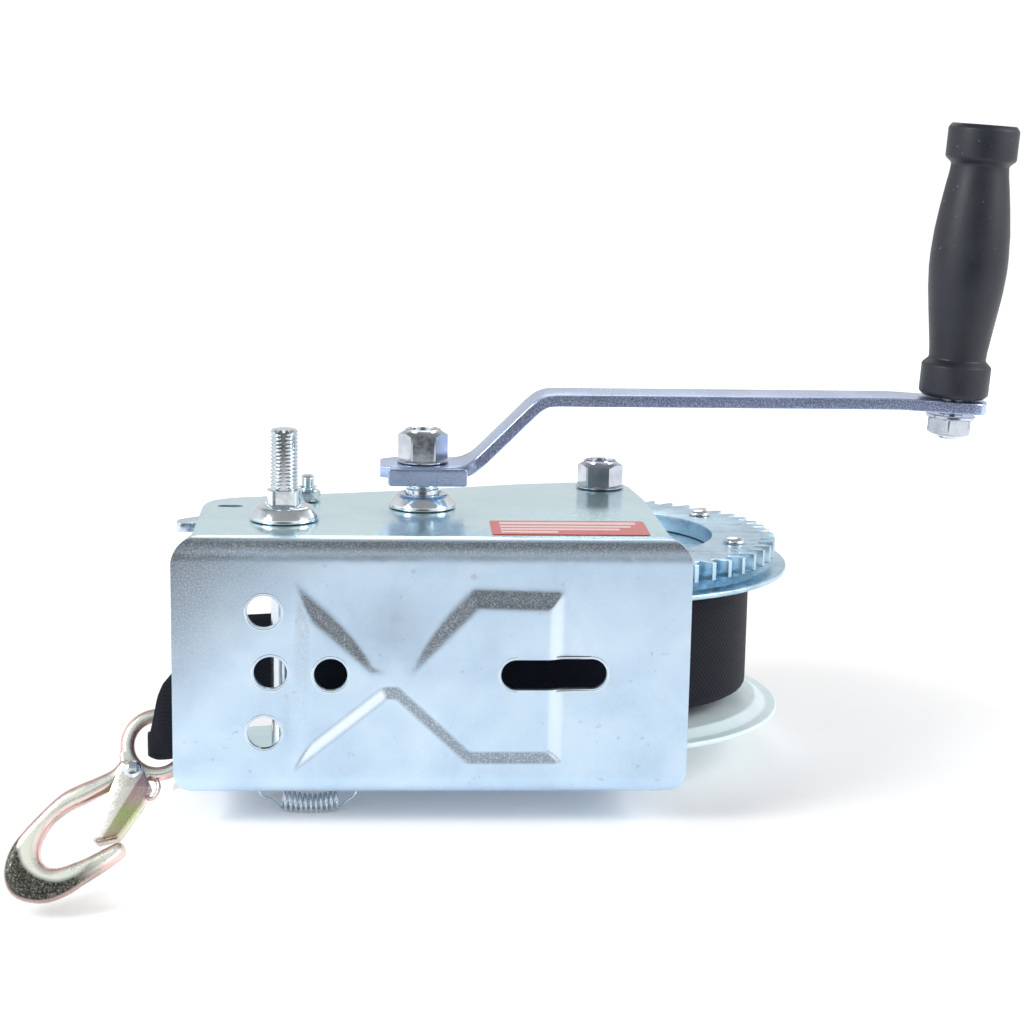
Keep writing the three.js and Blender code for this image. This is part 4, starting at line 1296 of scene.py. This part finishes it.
def pin_hole():
    """The cutter for the latch's pin."""
    return prism(circle(PIN, 2.6, 32), -9, 9, "y")


def build_hook():
    """The forged hook: a chamfered outline, a ring and a neck, joined and smoothed."""
    outline = spline_through(HOOK_OUTLINE, True, 4)
    body = slanted("hook_plate", outline, 4.5, 3.3, GOLD)
    eye = [(x, 0, z) for x, z in circle((HOOK[0], HOOK[2]), 13.2, 72)]
    ring = wire("hook_ring", eye + [eye[0]], 3.2, GOLD, 20)
    neck = [(-28, -4), (-25, -12), (-17.5, -11.6), (-14.6, -7.4), (-19, -6.4), (-23.6, -3.4), (-25.6, 1),
            (-28.6, 1)]
    neck = slanted("hook_neck", spline_through(neck, True, 3), 3.2, 0.9, GOLD)
    made = merged("hook_forged", [body, ring, neck])
    modify(made, "REMESH", mode="VOXEL", voxel_size=0.00062, adaptivity=0)
    modify(made, "SMOOTH", factor=0.5, iterations=4)
    cut(made, pin_hole())
    lean_hook(made)
    made.data.materials.clear()
    made.data.materials.append(GOLD)
    shade(made, 50)
    stand_in(made, "snap_hook", "hook", slot="yellow_zinc")


def lean_hook(thing):
    """Moves a piece from the plane that the hook is drawn in to where it hangs."""
    shift = Matrix.Translation((0, HOOK[1] / 1000, 0))
    thing.data.transform(turn_about(HOOK, -HOOK_LEAN, "X") @ shift)


def build_latch():
    """The latch, folded over the hook, with its riveted pin and the wire that springs it shut."""
    side = [(-27, -4), (-18.8, -4.4), (-16.8, -9.4), (-14.4, -14.8), (-17.6, -22.8), (-27.2, -37.2),
            (-36.6, -39.6), (-38.8, -37.4), (-31, -15)]
    made = slanted("hook_latch_folded", softened(side, 1.6, True, 4), 6.6, 0.8, LATCH)
    inner = [(-40, 4), (-10, 4), (-10, -12.8), (-16.2, -15.4), (-19.6, -22.4), (-29, -35.6), (-36, -35.8),
             (-45, -34)]
    cut(made, prism(softened(inner, 0.8, True, 3), -5, 5, "y"))
    cut(made, pin_hole())
    lean_hook(made)
    shade(made, 36)
    stand_in(made, "latch", "hook_latch", slot="yellow_zinc")
    head = [(2.3, 6.9), (4.0, 6.9), (3.8, 7.4), (3.0, 8.1), (1.6, 8.5), (0.1, 8.6)]
    levels = [(r, -out) for r, out in reversed(head)] + head
    pin = rings("hook_pin_riveted", (0, 0), levels, BRIGHT, 36, 45,
                turn=lambda p: (PIN[0] + p[0], p[2], PIN[1] + p[1]))
    lean_hook(pin)
    curl = [(-21, 5.2, -8.6), (-17.5, 3.4, -9.6), (-14.2, 0.5, -10.4), (-11.6, -2.2, -12.2),
            (-10.9, -2.8, -15.2), (-12.0, -2.8, -18.4), (-14.2, -2.8, -20.2), (-15.8, -2.4, -18.6),
            (-14.4, -2.0, -15.8)]
    spring = wire("latch_spring_wire", spline_through(curl, False, 6), 0.95, GOLD, 12)
    lean_hook(spring)
    stand_in(spring, "snap_hook", slot="yellow_zinc")
    stand_in(pin, "snap_hook", "hook_latch_pin", slot="yellow_zinc")


# ---------------------------------------------------------------- pawl
def build_pawl():
    """The flat pawl, whose lever reaches out past the frame."""
    outline = [(59, 87), (53.5, 90.6), (46, 89.6), (28, 83), (3, 68), (-3, 62), (-2.4, 54), (4, 54), (28, 72),
               (40, 77.5), (35, 67.6), (37.6, 65.2), (50, 76.6), (58, 79.4)]
    made = plate("pawl_lever_cut", softened(outline, 2.2, True, 4), [circle(PAWL, 3.4, 32)], *PAWL_LEVEL,
                 PLATED, 0.4)
    stand_in(made, "pawl_lever", "pawl")


# ---------------------------------------------------------------- studio
def build_stage():
    """A table under the winch, whose left edge the hook hangs past, and a lower floor."""
    far, near = 30000, -750
    table = [(x, y, TABLE_TOP) for x in (TABLE_EDGE, far) for y in (near, far)]
    table += [(TABLE_EDGE, y, FLOOR_TOP) for y in (near, far)]
    add_mesh("studio_table", table, [(0, 2, 3, 1), (0, 1, 5, 4)], FLOOR, 30)
    low = [(x, y, FLOOR_TOP) for x in (-far, TABLE_EDGE) for y in (near, far)]
    add_mesh("studio_floor", low, [(0, 2, 3, 1)], FLOOR, 30)


def build_light():
    """A bright studio all round, darker overhead and behind the camera."""
    scene = bpy.context.scene
    scene.view_settings.view_transform = "Standard"
    world = bpy.data.worlds.new("studio")
    scene.world = world
    world.use_nodes = True
    tree = world.node_tree
    back = tree.nodes["Background"]
    coords = tree.nodes.new("ShaderNodeTexCoord")
    split = tree.nodes.new("ShaderNodeSeparateXYZ")
    tree.links.new(coords.outputs["Generated"], split.inputs["Vector"])
    height = colour_ramp(tree, split.outputs["Z"], [
        (0.0, 0.95), (0.30, 1.0), (0.52, 0.9), (0.72, 0.32), (1.0, 0.26)])
    front = colour_ramp(tree, map_range(tree, split.outputs["Y"], 0, 1, -1, 1), [
        (0.0, 0.06), (0.03, 0.10), (0.10, 0.90), (0.5, 1.0), (0.85, 0.62), (1.0, 0.55)])
    seen = tree.nodes.new("ShaderNodeLightPath").outputs["Is Camera Ray"]
    sky = colour_mix(tree, 1, height, front, "MULTIPLY")
    tree.links.new(colour_mix(tree, seen, sky, (1, 1, 1)), back.inputs["Color"])
    back.inputs["Strength"].default_value = 1.35
    aim = Vector((0.05, 0.05, 0))
    for name, place, size, power in (
        ("key", (-1.1, -0.5, 0.9), 0.7, 12),
        ("fill", (1.2, -0.3, 0.8), 0.7, 8),
        ("back", (0.1, 1.2, 1.2), 1.0, 5),
    ):
        lamp = bpy.data.lights.new(name, "AREA")
        lamp.shape = "DISK"
        lamp.size = size
        lamp.energy = power
        holder = bpy.data.objects.new(name, lamp)
        scene.collection.objects.link(holder)
        holder.location = place
        holder.rotation_euler = (aim - Vector(place)).to_track_quat("-Z", "Y").to_euler()


build_frame()
build_label()
build_bushings()
build_fasteners()
build_spring()
build_gears()
build_drum()
build_roll()
build_crank()
build_arm()
build_grip()
build_hook()
build_tail()
build_latch()
build_pawl()
build_stage()
build_light()
